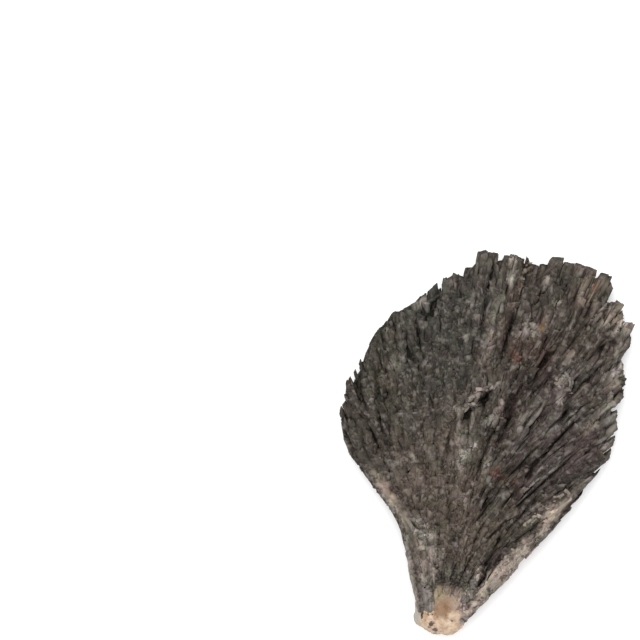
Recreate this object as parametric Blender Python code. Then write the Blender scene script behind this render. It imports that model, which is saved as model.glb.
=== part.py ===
"""A black kyanite fan: flat blades grown together from one root, around a lump of cream feldspar.

Run it with blender --background --python part.py, or from Blender's text editor.
The fan lies on its back: +Y runs from the root to the rim, +Z is up, and the origin is on the resting
surface under the middle of the bounding box. Sizes are in millimetres and angles in degrees, and MM turns
the millimetres into Blender's metres. Places on the fan are polar: an angle from +Y, positive towards +X,
and a radius from the apex, the point just behind the root from which the blades spread.
"""

import math
import random

import bmesh
import bpy
from mathutils import Matrix, Vector, noise

MM = 0.001

# Driving dimensions of the whole fan.
FAN_LENGTH = 79.0
APEX_TO_ROOT_END = 5.9
APEX = Vector((0.6, -FAN_LENGTH / 2 - APEX_TO_ROOT_END, 0.0))

# The rim's radius by angle, from the left corner to the right one.
RIM = (
    (-34.0, 46.0), (-32.4, 53.2), (-30.5, 55.4), (-27.0, 60.2), (-21.0, 66.8), (-17.5, 70.4),
    (-15.0, 71.6), (-12.0, 74.6), (-9.0, 77.2), (-7.0, 79.0), (-5.2, 82.6), (-2.6, 83.4),
    (-2.0, 82.0), (0.0, 83.3), (4.0, 82.6), (5.2, 84.5), (9.0, 84.7), (13.4, 85.0),
    (15.0, 81.6), (17.0, 81.2), (19.6, 78.6), (21.0, 71.8), (23.5, 66.8), (26.0, 61.0),
    (28.0, 57.4), (29.6, 53.9), (31.0, 46.0),
)
# The angle of each flank by radius. The left flank flares out, and the right one is nearly straight.
LEFT_FLANK = ((9.0, -28.0), (13.0, -26.0), (27.0, -24.6), (31.0, -26.6), (36.0, -29.8), (44.0, -33.2))
RIGHT_FLANK = ((9.0, 29.0), (12.5, 31.4), (44.0, 31.2))

# Heights of the front and the back of the fan over the resting surface, along its middle, by radius.
FRONT_HEIGHT = ((7.0, 7.0), (10.0, 7.8), (16.0, 8.8), (30.0, 9.1), (52.0, 8.8), (70.0, 7.8), (86.0, 6.4))
BACK_HEIGHT = ((7.0, 1.2), (14.0, 0.8), (28.0, 0.4), (60.0, 0.4), (72.0, 1.1), (86.0, 2.4))
CREST_ANGLE, CREST_RISE = -1.0, 0.7
VALLEY_ANGLE, VALLEY_DROP = 4.0, 1.2
FLANK_ROUND, FLANK_FALL, FLANK_LIFT = 7.0, 2.6, 1.8

# How far blades lean out from a straight spoke, on the right lobe and on the left one.
RIGHT_SPLAY, LEFT_SPLAY = 17.0, 4.0

# The core that the blades are fused to, under the surface and short of the outline.
CORE_ANGLES, CORE_ROWS = 15, 9
CORE_INSET, CORE_DEPTH, CORE_ROOT_RADIUS = 2.2, 0.55, 9.6

# Blades. Each family: how many, the length range, the width range at a radius of 50, and the thickness.
FRONT_BLADES = dict(count=92, length=(13.0, 30.0), width=(1.7, 3.4), thickness=(1.2, 1.8))
BACK_BLADES = dict(count=54, length=(18.0, 36.0), width=(2.4, 4.4), thickness=(1.2, 1.8))
RIM_STEP, RIM_LAYERS, RIM_LENGTH, RIM_WIDTH = 2.1, 2, (11.0, 19.0), (1.8, 3.0)
FLANK_BLADES, FLANK_REACH = 4, (43.5, 46.5)
WIDTH_RADIUS = 50.0
END_LIFT, START_SINK = (0.05, 0.75), 0.9

# Open clefts between blades on the front: angle, radius, length, width, depth, and turn from the blades.
CLEFTS = (
    (-28.0, 55.0, 9.0, 1.1, 2.2, 0.0), (-24.0, 46.5, 7.0, 0.9, 1.4, 0.0), (-11.5, 70.3, 7.0, 1.3, 1.8, 0.0),
    (-3.0, 80.5, 6.0, 0.8, 1.6, 0.0), (2.0, 79.5, 9.0, 0.9, 1.8, 0.0), (1.3, 67.0, 9.0, 1.3, 1.8, 0.0),
    (8.2, 64.5, 7.5, 1.6, 2.2, 0.0), (5.4, 54.0, 9.0, 1.7, 1.8, 0.0), (0.2, 54.2, 3.0, 1.4, 1.8, 0.0),
    (-4.2, 50.4, 3.4, 1.0, 1.6, 30.0), (16.3, 56.5, 3.4, 1.1, 1.4, 0.0), (17.5, 72.5, 5.0, 1.0, 1.5, 0.0),
    (12.7, 81.8, 4.0, 1.2, 1.8, 0.0), (18.5, 36.5, 12.0, 0.9, 1.6, 0.0), (16.0, 46.0, 8.0, 0.9, 1.4, 0.0),
    (18.0, 26.5, 8.0, 1.2, 1.4, 0.0), (1.0, 42.0, 9.0, 0.9, 1.3, 0.0), (-15.0, 27.0, 5.0, 0.9, 1.3, 90.0),
)

# The feldspar at the root is a rounded block (centre from the apex, radii, squareness) with two
# lumps (centre from the apex, radii) on the side of the blades. A high blend keeps them apart.
FELDSPAR_CENTRE, FELDSPAR_RADII, FELDSPAR_SQUARE = (0.3, 9.2, 4.3), (5.0, 3.15, 3.5), 2.4
FELDSPAR_LUMPS = (
    ((0.4, 12.4, 5.7), (2.7, 3.4, 2.9)),
    ((2.6, 11.6, 5.7), (2.6, 3.0, 2.9)),
)
FELDSPAR_BLEND = 9.0
SOCKET_GAP = 0.32
WELD = 0.01

SEED = 51


def interpolate(table, x):
    """The value at x on the straight runs between a table's points."""
    if x <= table[0][0]:
        return table[0][1]
    for (x0, y0), (x1, y1) in zip(table, table[1:]):
        if x <= x1:
            return y0 + (y1 - y0) * (x - x0) / (x1 - x0)
    return table[-1][1]


def ease(low, high, x):
    """0 below low, 1 above high, and a smooth change between."""
    t = min(1.0, max(0.0, (x - low) / (high - low)))
    return t * t * (3.0 - 2.0 * t)


def polar(angle, radius, height=0.0):
    """The point at an angle and a radius from the apex, in millimetres in the object's frame."""
    turn = math.radians(angle)
    return APEX + Vector((radius * math.sin(turn), radius * math.cos(turn), height))


def angle_and_radius(point):
    """The inverse of polar, for a point in the object's frame."""
    x, y = point.x - APEX.x, point.y - APEX.y
    return math.degrees(math.atan2(x, y)), math.hypot(x, y)


def edge_share(angle, radius):
    """0 at the middle of the fan and 1 on a flank's edge, rising over the last FLANK_ROUND degrees."""
    left, right = interpolate(LEFT_FLANK, radius), interpolate(RIGHT_FLANK, radius)
    inside = min(angle - left, right - angle)
    return 1.0 - min(1.0, max(0.0, inside / FLANK_ROUND))


def front(angle, radius):
    """Height of the front: a crest along the middle, a valley right of it, and rounded flanks."""
    outer = ease(24.0, 44.0, radius)
    crest = CREST_RISE * outer * math.exp(-(((angle - CREST_ANGLE) / 5.0) ** 2))
    valley = VALLEY_DROP * outer * math.exp(-(((angle - VALLEY_ANGLE) / 4.0) ** 2))
    fall = FLANK_FALL * edge_share(angle, radius) ** 2
    return interpolate(FRONT_HEIGHT, radius) + crest - valley - fall


def back(angle, radius):
    """Height of the back, which curls up a little at the flanks."""
    return interpolate(BACK_HEIGHT, radius) + FLANK_LIFT * edge_share(angle, radius) ** 2


def lean(angle, radius):
    """The direction in which a blade grows at a place, from +Y."""
    if angle < 0.0:
        return angle - LEFT_SPLAY * ease(-5.0, -20.0, angle) * ease(25.0, 45.0, radius)
    band = ease(18.0, 42.0, radius) * (1.0 - 0.85 * ease(60.0, 80.0, radius))
    return angle + RIGHT_SPLAY * ease(0.0, 10.0, angle) * band * (1.0 - ease(26.0, 31.0, angle))


def inside(point, margin):
    """Whether a place is inside the outline by a margin."""
    angle, radius = angle_and_radius(point)
    turn = math.degrees(margin / radius)
    left, right = interpolate(LEFT_FLANK, radius) + turn, interpolate(RIGHT_FLANK, radius) - turn
    return left < angle < right and radius < interpolate(RIM, angle) - margin


def grow(angle, radius, length, steps):
    """Places along a blade that starts at an angle and a radius and follows the lean, in the plane."""
    point = polar(angle, radius)
    path = [point]
    for _ in range(steps):
        turn = math.radians(lean(*angle_and_radius(path[-1])))
        path.append(path[-1] + Vector((math.sin(turn), math.cos(turn), 0.0)) * (length / steps))
    return path


def add_blade(mesh, path, width, thickness, slant, roll):
    """Adds one flat blade with a broken, slanting end. Its root end is narrower than its outer end."""
    along_all = (path[-1] - path[0]).normalized()
    side = along_all.cross(Vector((0.0, 0.0, 1.0))).normalized()
    up = side.cross(along_all)
    turn = Matrix.Rotation(roll, 3, along_all)
    side, up = turn @ side, turn @ up
    rings = []
    last = len(path) - 1
    for i, place in enumerate(path):
        share = i / last
        half = 0.5 * width * (0.62 + 0.38 * share)
        thin = 0.5 * thickness
        end = along_all * slant * (1.0 if i == last else 0.0)
        corners = ((-half, -thin, -1.0), (half, -thin, 1.0), (half * 0.86, thin, 1.0), (-half * 0.86, thin, -1.0))
        rings.append([mesh.verts.new(place + side * a + up * b + end * c) for a, b, c in corners])
    for low, high in zip(rings, rings[1:]):
        for i in range(4):
            mesh.faces.new((low[i], low[(i + 1) % 4], high[(i + 1) % 4], high[i]))
    mesh.faces.new(rings[0][::-1])
    mesh.faces.new(rings[-1])


def settle(path, surface, sign, thickness, end_lift):
    """Lays a path on the front (sign 1) or the back (sign -1): its start is sunk and its end stands proud."""
    laid = []
    for i, place in enumerate(path):
        share = i / (len(path) - 1)
        angle, radius = angle_and_radius(place)
        proud = -START_SINK + (START_SINK + end_lift) * share
        height = surface(angle, radius) + sign * (proud - thickness / 2)
        laid.append(Vector((place.x, place.y, height)))
    return laid


def within(path, margin):
    """The start of the path, up to where it would come too near to the outline."""
    kept = path[:1]
    for place in path[1:]:
        if not inside(place, margin):
            break
        kept.append(place)
    return kept


def add_face_blades(mesh, dice, family, surface, sign):
    """Covers one face with blades spread evenly over its area."""
    for i in range(family["count"]):
        # The golden ratio spreads the angles, and the square root spreads the radii by area.
        spread = (i * 0.618034 + 0.5 * dice.random() / family["count"]) % 1.0
        angle = -29.0 + 58.0 * spread
        rim = interpolate(RIM, angle)
        radius = 9.0 + (rim - 19.0) * math.sqrt((i + dice.random()) / family["count"])
        length = dice.uniform(*family["length"])
        thickness = dice.uniform(*family["thickness"])
        width = dice.uniform(*family["width"]) * (0.35 + 0.65 * (radius + length) / WIDTH_RADIUS / 1.3)
        path = within(grow(angle, radius, length, 5), 1.2)
        end_lift, slant, roll = dice.uniform(*END_LIFT), dice.uniform(-1.2, 1.2), dice.uniform(-0.16, 0.16)
        if len(path) < 3:
            continue
        path = [path[0], path[len(path) // 2], path[-1]]
        add_blade(mesh, settle(path, surface, sign, thickness, end_lift), width, thickness, slant, roll)


def add_rim_blades(mesh, dice):
    """The blades whose broken ends make the toothed rim, in layers from the back to the front."""
    steps = int((RIM[-1][0] - RIM[0][0]) / RIM_STEP)
    for layer in range(RIM_LAYERS):
        for i in range(steps + 1):
            width = dice.uniform(*RIM_WIDTH)
            angle = RIM[0][0] + RIM_STEP * (i + 0.5 * layer) + dice.uniform(-0.5, 0.5)
            turn = math.degrees(0.5 * width / interpolate(RIM, angle))
            angle = min(max(angle, RIM[0][0] + 1.2 * turn), RIM[-1][0] - 1.2 * turn)
            reach = interpolate(RIM, angle) - dice.choice((0.0, 0.3, 0.8, 1.5)) * (1.0 if layer else 0.6)
            slope = 0.5 * (interpolate(RIM, angle + turn) - interpolate(RIM, angle - turn))
            aim, length = math.radians(lean(angle, reach)), dice.uniform(*RIM_LENGTH)
            along = Vector((math.sin(aim), math.cos(aim), 0.0))
            tip = polar(angle, reach)
            while length > 4.0 and not inside(tip - along * length, 2.2):
                length -= 1.0
            start = tip - along * length
            share = (layer + 0.5 + dice.uniform(-0.15, 0.15)) / RIM_LAYERS
            low, high = back(angle, reach), front(angle, reach)
            tip.z = low + (high - low) * share
            start_low, start_high = back(*angle_and_radius(start)), front(*angle_and_radius(start))
            start.z = start_low + (start_high - start_low) * (0.3 + 0.4 * share)
            thickness = (high - low) / RIM_LAYERS * dice.uniform(1.0, 1.3)
            slant = max(-1.3, min(1.3, slope)) + dice.uniform(-0.4, 0.4)
            add_blade(mesh, [start, tip], width, thickness, slant, dice.uniform(-0.15, 0.15))


def add_flank_blades(mesh, dice):
    """Long blades stacked along each flank, which give it its smooth, rounded edge."""
    for flank, side, far in ((LEFT_FLANK, 1.0, FLANK_REACH[0]), (RIGHT_FLANK, -1.0, FLANK_REACH[1])):
        for layer in range(FLANK_BLADES):
            share = (layer + 0.5) / FLANK_BLADES
            inset = 0.95 + 2.0 * abs(share - 0.5)
            path = []
            for i in range(7):
                radius = 9.5 + (far - 9.5 - 1.5 * layer) * i / 6
                angle = interpolate(flank, radius) + side * math.degrees(inset / radius)
                low, high = back(angle, radius), front(angle, radius)
                path.append(polar(angle, radius, low + (high - low) * share))
            add_blade(mesh, path, dice.uniform(2.0, 2.6), 2.1, dice.uniform(-1.0, 1.0), side * (share - 0.5) * 1.2)


def add_core(mesh):
    """The closed slab under the blades, on a polar grid."""
    layers = []
    for sign, surface in ((1.0, front), (-1.0, back)):
        rows = []
        for j in range(CORE_ROWS):
            row = []
            for i in range(CORE_ANGLES):
                share = i / (CORE_ANGLES - 1)
                near, far = CORE_ROOT_RADIUS, interpolate(RIM, -31.0 + 61.0 * share) - 1.5 * CORE_INSET
                radius = near + (far - near) * j / (CORE_ROWS - 1)
                narrow = math.degrees(CORE_INSET * min(1.0, radius / 30.0) / radius)
                left, right = interpolate(LEFT_FLANK, radius) + narrow, interpolate(RIGHT_FLANK, radius) - narrow
                angle = left + (right - left) * share
                radius = min(radius, interpolate(RIM, angle) - 1.5 * CORE_INSET)
                height = surface(angle, radius) - sign * CORE_DEPTH
                row.append(mesh.verts.new(polar(angle, radius, height)))
            rows.append(row)
        layers.append(rows)
    top, bottom = layers
    for j in range(CORE_ROWS - 1):
        for i in range(CORE_ANGLES - 1):
            mesh.faces.new((top[j][i], top[j][i + 1], top[j + 1][i + 1], top[j + 1][i]))
            mesh.faces.new((bottom[j][i], bottom[j + 1][i], bottom[j + 1][i + 1], bottom[j][i + 1]))
    ring = [(0, i) for i in range(CORE_ANGLES)]
    ring += [(j, CORE_ANGLES - 1) for j in range(1, CORE_ROWS)]
    ring += [(CORE_ROWS - 1, i) for i in range(CORE_ANGLES - 2, -1, -1)]
    ring += [(j, 0) for j in range(CORE_ROWS - 2, 0, -1)]
    for (j0, i0), (j1, i1) in zip(ring, ring[1:] + ring[:1]):
        mesh.faces.new((top[j0][i0], bottom[j0][i0], bottom[j1][i1], top[j1][i1]))


def cleft_cutter():
    """Long, narrow double pyramids that open the clefts when they are cut away."""
    mesh = bmesh.new()
    for angle, radius, length, width, depth, turn in CLEFTS:
        aim = math.radians(lean(angle, radius) + turn)
        along = Vector((math.sin(aim), math.cos(aim), 0.0))
        side = Vector((along.y, -along.x, 0.0))
        centre = polar(angle, radius, front(angle, radius) + 0.3)
        ends = [mesh.verts.new(centre + along * length * 0.5 * k) for k in (-1.0, 1.0)]
        ring = [mesh.verts.new(centre + p) for p in (
            side * width, Vector((0.0, 0.0, 2.5)), -side * width, Vector((0.0, 0.0, -depth - 0.3)))]
        for a, b in zip(ring, ring[1:] + ring[:1]):
            mesh.faces.new((a, b, ends[1]))
            mesh.faces.new((b, a, ends[0]))
    return object_of("cleft_cutter", mesh)


def feldspar_reach(direction):
    """How far the block and its lumps reach from the block's centre, in one direction."""
    block = sum(abs(direction[k] / FELDSPAR_RADII[k]) ** FELDSPAR_SQUARE for k in range(3))
    reaches = [block ** (-1.0 / FELDSPAR_SQUARE)]
    for middle, radii in FELDSPAR_LUMPS:
        start = Vector([(FELDSPAR_CENTRE[k] - middle[k]) / radii[k] for k in range(3)])
        ray = Vector([direction[k] / radii[k] for k in range(3)])
        a, b, c = ray.dot(ray), ray.dot(start), start.dot(start) - 1.0
        if b * b > a * c:
            reaches.append(max(0.0, (-b + math.sqrt(b * b - a * c)) / a))
    return sum(reach**FELDSPAR_BLEND for reach in reaches) ** (1.0 / FELDSPAR_BLEND)


def add_feldspar(mesh, subdivisions, grown):
    """The block and its lumps as one rounded, slightly knobbly solid, grown outwards by a clearance."""
    bmesh.ops.create_icosphere(mesh, subdivisions=subdivisions, radius=1.0)
    centre = APEX + Vector(FELDSPAR_CENTRE)
    for corner in mesh.verts:
        direction = corner.co.normalized()
        knobs = 0.45 * noise.noise(direction * 2.6 + Vector((3.1, 0.7, 5.2)))
        corner.co = centre + direction * (feldspar_reach(direction) + knobs + grown)


def object_of(name, mesh):
    """Turns a bmesh in millimetres into a named object in metres."""
    bmesh.ops.recalc_face_normals(mesh, faces=mesh.faces)
    bmesh.ops.scale(mesh, vec=Vector((MM, MM, MM)), verts=mesh.verts)
    data = bpy.data.meshes.new(name)
    mesh.to_mesh(data)
    mesh.free()
    obj = bpy.data.objects.new(name, data)
    bpy.context.scene.collection.objects.link(obj)
    return obj


def combine(obj, other, operation):
    """Applies one Boolean to obj. The other object is used up."""
    step = obj.modifiers.new(operation.lower(), "BOOLEAN")
    step.solver = "EXACT"
    step.operation = operation
    step.use_self = operation == "UNION"
    step.object = other
    bpy.context.view_layer.update()
    made = bpy.data.meshes.new_from_object(obj.evaluated_get(bpy.context.evaluated_depsgraph_get()))
    obj.modifiers.clear()
    obj.data = made
    bpy.data.objects.remove(other)


def weld_slivers(mesh):
    """Welds corners that nearly meet, and deletes the pairs of triangles that this folds onto each other."""
    bmesh.ops.triangulate(mesh, faces=mesh.faces)
    bmesh.ops.remove_doubles(mesh, verts=mesh.verts, dist=WELD * MM)
    bmesh.ops.dissolve_degenerate(mesh, edges=mesh.edges, dist=WELD * MM)
    bmesh.ops.triangulate(mesh, faces=mesh.faces)
    groups = {}
    for face in mesh.faces:
        groups.setdefault(frozenset(face.verts), []).append(face)
    bmesh.ops.delete(mesh, geom=[f for g in groups.values() if len(g) == 2 for f in g], context="FACES")


def keep_outer_shell(obj):
    """Deletes all shells but the largest, such as those of small hollows sealed in between blades."""
    mesh = bmesh.new()
    mesh.from_mesh(obj.data)
    weld_slivers(mesh)
    left, shells = set(mesh.faces), []
    while left:
        shell, edge = set(), {left.pop()}
        while edge:
            face = edge.pop()
            shell.add(face)
            near = {f for e in face.edges if len(e.link_faces) == 2 for f in e.link_faces} & left
            left -= near
            edge |= near
        shells.append(shell)
    largest = max(shells, key=len)
    bmesh.ops.delete(mesh, geom=[f for s in shells if s is not largest for f in s], context="FACES")
    mesh.to_mesh(obj.data)
    mesh.free()


def material(name, colour, roughness):
    made = bpy.data.materials.new(name)
    made.use_nodes = True
    shader = made.node_tree.nodes["Principled BSDF"]
    shader.inputs["Base Color"].default_value = (*colour, 1.0)
    shader.inputs["Roughness"].default_value = roughness
    shader.inputs["Metallic"].default_value = 0.0
    return made


def resting_plane_cutter():
    """A box whose top is the resting surface. It wears the lowest blades flat there."""
    mesh = bmesh.new()
    bmesh.ops.create_cube(mesh, size=1.0)
    bmesh.ops.scale(mesh, vec=Vector((120.0, 160.0, 20.0)), verts=mesh.verts)
    bmesh.ops.translate(mesh, vec=Vector((0.0, 0.0, -10.0)), verts=mesh.verts)
    return object_of("resting_plane_cutter", mesh)


def build_fan():
    dice = random.Random(SEED)
    mesh = bmesh.new()
    add_core(mesh)
    fan = object_of("kyanite_fan", mesh)
    shells = bmesh.new()
    add_flank_blades(shells, dice)
    add_rim_blades(shells, dice)
    add_face_blades(shells, dice, BACK_BLADES, back, -1.0)
    add_face_blades(shells, dice, FRONT_BLADES, front, 1.0)
    combine(fan, object_of("blade_shells", shells), "UNION")
    combine(fan, cleft_cutter(), "DIFFERENCE")
    socket = bmesh.new()
    add_feldspar(socket, 3, SOCKET_GAP)
    combine(fan, object_of("socket_cutter", socket), "DIFFERENCE")
    combine(fan, resting_plane_cutter(), "DIFFERENCE")
    keep_outer_shell(fan)
    fan.data.materials.clear()
    fan.data.materials.append(material("black_kyanite", (0.085, 0.075, 0.068), 0.6))
    return fan


def build_matrix():
    mesh = bmesh.new()
    add_feldspar(mesh, 3, 0.0)
    root = object_of("matrix_root", mesh)
    root.data.materials.append(material("feldspar", (0.62, 0.45, 0.30), 0.65))
    return root


def main():
    for obj in list(bpy.data.objects):
        bpy.data.objects.remove(obj)
    build_fan()
    build_matrix()


main()
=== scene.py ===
"""The looks of the black kyanite fan: its thousands of fine blades, its feldspar root, dust, rust and light.

Sizes and places are in millimetres in the part's own frame, and MM turns them into Blender's metres. The
apex is the point just behind the root from which the blades spread. The form is given by angle, in degrees
from +Y and positive towards +X, and by radius from the apex. Marks are given by X and Y from the apex. The
outline, the two faces and the way the blades lean repeat the values of the part's own source. Two others
follow it closely: the right flank's outer end is up to 1 mm narrower here, and the feldspar 0.15 mm larger.
"""

import math

import bmesh
import bpy
import numpy as np
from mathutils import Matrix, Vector, noise


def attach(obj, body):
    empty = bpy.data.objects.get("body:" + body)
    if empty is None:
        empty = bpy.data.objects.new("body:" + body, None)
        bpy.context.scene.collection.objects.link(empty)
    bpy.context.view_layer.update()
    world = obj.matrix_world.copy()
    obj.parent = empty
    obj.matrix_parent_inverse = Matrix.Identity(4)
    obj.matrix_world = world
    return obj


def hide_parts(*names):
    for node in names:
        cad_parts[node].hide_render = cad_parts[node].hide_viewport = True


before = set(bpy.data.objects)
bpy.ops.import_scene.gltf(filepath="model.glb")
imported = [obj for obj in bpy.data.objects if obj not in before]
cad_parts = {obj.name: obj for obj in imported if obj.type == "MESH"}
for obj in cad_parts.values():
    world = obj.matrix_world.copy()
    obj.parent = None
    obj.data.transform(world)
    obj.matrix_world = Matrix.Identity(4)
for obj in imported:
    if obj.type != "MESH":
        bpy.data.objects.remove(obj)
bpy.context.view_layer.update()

MM = 0.001

# ------------ the fan's form

FAN_LENGTH = 79.0
APEX_TO_ROOT_END = 5.9
APEX = np.array((0.6, -FAN_LENGTH / 2 - APEX_TO_ROOT_END))

# The rim's radius by angle, and the flanks' angles and the faces' heights by radius.
RIM = (
    (-34.0, 46.0), (-32.4, 53.2), (-30.5, 55.4), (-27.0, 60.2), (-21.0, 66.8), (-17.5, 70.4),
    (-15.0, 71.6), (-12.0, 74.6), (-9.0, 77.2), (-7.0, 79.0), (-5.2, 82.6), (-2.6, 83.4),
    (-2.0, 82.0), (0.0, 83.3), (4.0, 82.6), (5.2, 84.5), (9.0, 84.7), (13.4, 85.0),
    (15.0, 81.6), (17.0, 81.2), (19.6, 78.6), (21.0, 71.8), (23.5, 66.8), (26.0, 61.0),
    (28.0, 57.4), (29.6, 53.9), (31.0, 46.0),
)
LEFT_FLANK = ((9.0, -28.0), (13.0, -26.0), (27.0, -24.6), (31.0, -26.6), (36.0, -29.8), (44.0, -33.2))
RIGHT_FLANK = ((9.0, 29.0), (12.5, 31.4), (38.0, 31.2), (42.0, 30.7), (47.0, 29.9))

FRONT_HEIGHT = ((7.0, 7.0), (10.0, 7.8), (16.0, 8.8), (30.0, 9.1), (52.0, 8.8), (70.0, 7.8), (86.0, 6.4))
BACK_HEIGHT = ((7.0, 1.2), (14.0, 0.8), (28.0, 0.4), (60.0, 0.4), (72.0, 1.1), (86.0, 2.4))
CREST_ANGLE, CREST_WIDTH, CREST_RISE = -1.0, 5.0, 0.7
VALLEY_ANGLE, VALLEY_WIDTH, VALLEY_DROP = 4.0, 4.0, 1.2
FLANK_ROUND, FLANK_FALL, FLANK_LIFT = 7.0, 2.6, 1.8
RIGHT_SPLAY, LEFT_SPLAY = 17.0, 4.0

# Open slits and pits on the front: both ends from the apex, width and depth.
SLITS = (
    ((-14.3, 70.4), (-14.2, 67.9), 1.3, 2.2), ((-15.1, 67.3), (-15.2, 65.7), 0.9, 1.4),
    ((-16.4, 65.4), (-15.2, 60.8), 0.6, 1.4), ((-17.6, 60.9), (-16.6, 58.6), 1.1, 1.0),
    ((-15.9, 58.6), (-15.7, 57.6), 0.8, 1.2), ((-5.0, 64.8), (-4.9, 62.5), 0.9, 1.3),
    ((-13.3, 73.2), (-12.9, 71.3), 0.6, 1.6), ((-7.9, 78.7), (-7.6, 76.9), 0.6, 1.2),
    ((-3.9, 81.0), (-4.4, 74.7), 0.6, 1.5), ((0.4, 55.2), (-0.5, 52.9), 1.9, 2.6),
    ((-2.3, 51.2), (-3.8, 49.0), 1.5, 2.4), ((-26.0, 51.9), (-23.8, 48.5), 0.8, 1.8),
    ((-19.9, 45.7), (-18.3, 42.7), 0.7, 1.5), ((-21.3, 43.3), (-18.9, 39.7), 0.8, 1.6),
    ((-20.6, 52.7), (-19.3, 50.5), 0.6, 1.2), ((-22.5, 57.8), (-21.6, 55.3), 0.6, 1.2),
    ((3.0, 81.2), (2.6, 75.2), 0.9, 1.8), ((1.9, 70.7), (1.4, 63.7), 1.3, 1.8),
    ((1.4, 63.7), (1.1, 60.3), 0.5, 0.8), ((18.3, 80.2), (17.8, 78.6), 1.2, 2.2),
    ((20.4, 69.4), (20.4, 67.7), 0.9, 1.8), ((10.1, 64.9), (9.4, 62.3), 1.3, 2.2),
    ((8.7, 62.0), (8.7, 59.1), 0.7, 1.3), ((17.2, 68.3), (16.6, 66.9), 0.6, 1.2),
    ((15.9, 54.9), (15.5, 53.2), 0.9, 1.8), ((5.4, 50.6), (4.8, 49.5), 1.1, 1.8),
    ((4.9, 55.6), (5.0, 51.4), 1.6, 1.0), ((16.5, 62.0), (16.1, 57.8), 0.7, 1.2),
    ((25.1, 54.0), (24.3, 51.4), 0.8, 1.2), ((20.8, 77.2), (19.9, 72.9), 0.5, 1.2),
    ((11.4, 54.0), (8.6, 47.2), 0.7, 1.4), ((3.0, 49.5), (2.5, 45.9), 0.6, 1.2),
    ((2.2, 45.5), (0.9, 38.2), 0.5, 1.0), ((18.6, 53.8), (15.6, 48.7), 0.7, 1.4),
    ((-9.6, 26.4), (-7.4, 25.8), 0.45, 0.7), ((-8.9, 22.8), (-6.1, 17.9), 0.45, 0.8),
    ((4.0, 34.2), (3.9, 32.5), 0.8, 1.4), ((7.7, 22.3), (6.2, 16.8), 0.6, 1.0),
    ((0.5, 18.7), (0.4, 17.5), 0.6, 0.7), ((10.7, 45.0), (8.6, 41.5), 0.7, 1.4),
    ((12.4, 43.7), (11.1, 40.0), 1.0, 1.6), ((16.3, 50.5), (14.4, 46.8), 0.7, 1.6),
    ((16.2, 41.9), (9.8, 33.6), 0.8, 1.6), ((12.2, 34.1), (11.6, 32.7), 0.8, 1.2),
    ((8.2, 27.9), (7.9, 25.4), 0.8, 1.2), ((16.4, 30.5), (14.8, 28.3), 0.8, 1.2),
)

# The feldspar: one rounded block, and the lumps blended into it (centre from the apex, and radii).
FELDSPAR_CENTRE, FELDSPAR_RADII, FELDSPAR_SQUARE = (0.2, 9.15, 4.3), (5.15, 3.3, 3.5), 2.4
FELDSPAR_LUMPS = (
    ((0.4, 12.4, 5.7), (2.7, 3.4, 2.9)),
    ((2.6, 11.6, 5.7), (2.6, 3.0, 2.9)),
)
FELDSPAR_BLEND = 9.0
# The grains on its skin: height, and how many to a millimetre.
FELDSPAR_GRAINS = ((0.2, 0.9), (0.1, 2.1), (0.05, 4.6))
# Its knobs: height, and how many round it. Its pits: depth, how many to a millimetre, and where they start.
KNOB_HEIGHT, KNOBS, PIT_DEPTH, PITS, PIT_START = 0.45, 2.6, 0.9, 0.8, 0.4
FELDSPAR_SUBDIVISIONS = 7

# ------------ fine blades

# The broken ends that make the rim: first and last angle, and the radius at each.
RIM_BLOCKS = (
    (-33.0, -32.2, 48.0, 51.6), (-32.0, -31.0, 53.0, 54.2), (-30.8, -29.9, 54.4, 54.8),
    (-29.8, -29.2, 56.4, 56.4), (-28.8, -27.5, 58.2, 59.4), (-27.2, -26.9, 57.8, 57.8),
    (-26.7, -26.2, 60.0, 60.6), (-26.0, -25.7, 59.0, 59.2), (-25.4, -24.8, 61.4, 62.3),
    (-24.6, -22.6, 61.4, 65.0), (-22.6, -20.4, 65.4, 67.6), (-20.4, -18.2, 67.5, 69.9),
    (-18.2, -16.3, 70.3, 71.0), (-16.2, -14.2, 71.2, 72.0), (-14.2, -12.5, 72.3, 74.0),
    (-12.3, -10.8, 74.3, 75.8), (-10.7, -10.2, 74.5, 74.9), (-10.0, -8.6, 76.9, 77.9),
    (-8.5, -7.0, 78.2, 77.6), (-6.8, -5.5, 79.3, 79.9), (-5.3, -3.9, 82.8, 83.2), (-3.8, -2.4, 83.1, 83.0),
    (-2.3, -1.7, 81.6, 81.8), (-1.6, -0.2, 83.0, 83.5), (-0.1, 1.3, 83.4, 83.0), (1.5, 1.8, 83.6, 83.0),
    (2.0, 3.5, 82.4, 82.5), (3.6, 4.6, 82.6, 82.9), (4.8, 6.5, 84.9, 85.5), (6.7, 8.1, 84.5, 84.8),
    (8.2, 9.5, 85.0, 85.2), (9.6, 11.2, 85.4, 85.5), (11.3, 11.7, 84.0, 84.2), (11.8, 13.4, 85.2, 85.5),
    (13.5, 14.2, 84.4, 83.4), (14.3, 15.3, 80.8, 81.2), (15.4, 16.6, 82.0, 81.6), (16.7, 17.8, 80.4, 78.2),
    (18.1, 19.4, 78.6, 79.4), (19.5, 20.4, 77.0, 75.4), (20.5, 21.4, 71.4, 70.6), (21.5, 23.2, 70.2, 68.4),
    (23.3, 24.3, 67.2, 65.8), (24.5, 25.6, 62.9, 61.8), (25.7, 27.1, 61.2, 60.2), (27.3, 28.3, 58.4, 57.2),
    (28.4, 29.4, 56.2, 54.6), (29.5, 30.0, 52.5, 50.4), (30.1, 30.5, 47.0, 45.5),
)
RIM_ENDS = [end for first, last, low, high in RIM_BLOCKS for end in ((first, low), (last, high))]
# Where the feldspar shows: no blade grows over these ellipses (centre and radii, from the apex).
BARE = (((0.3, 7.9), (5.6, 2.3)), ((1.5, 11.9), (3.2, 3.7)))

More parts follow.
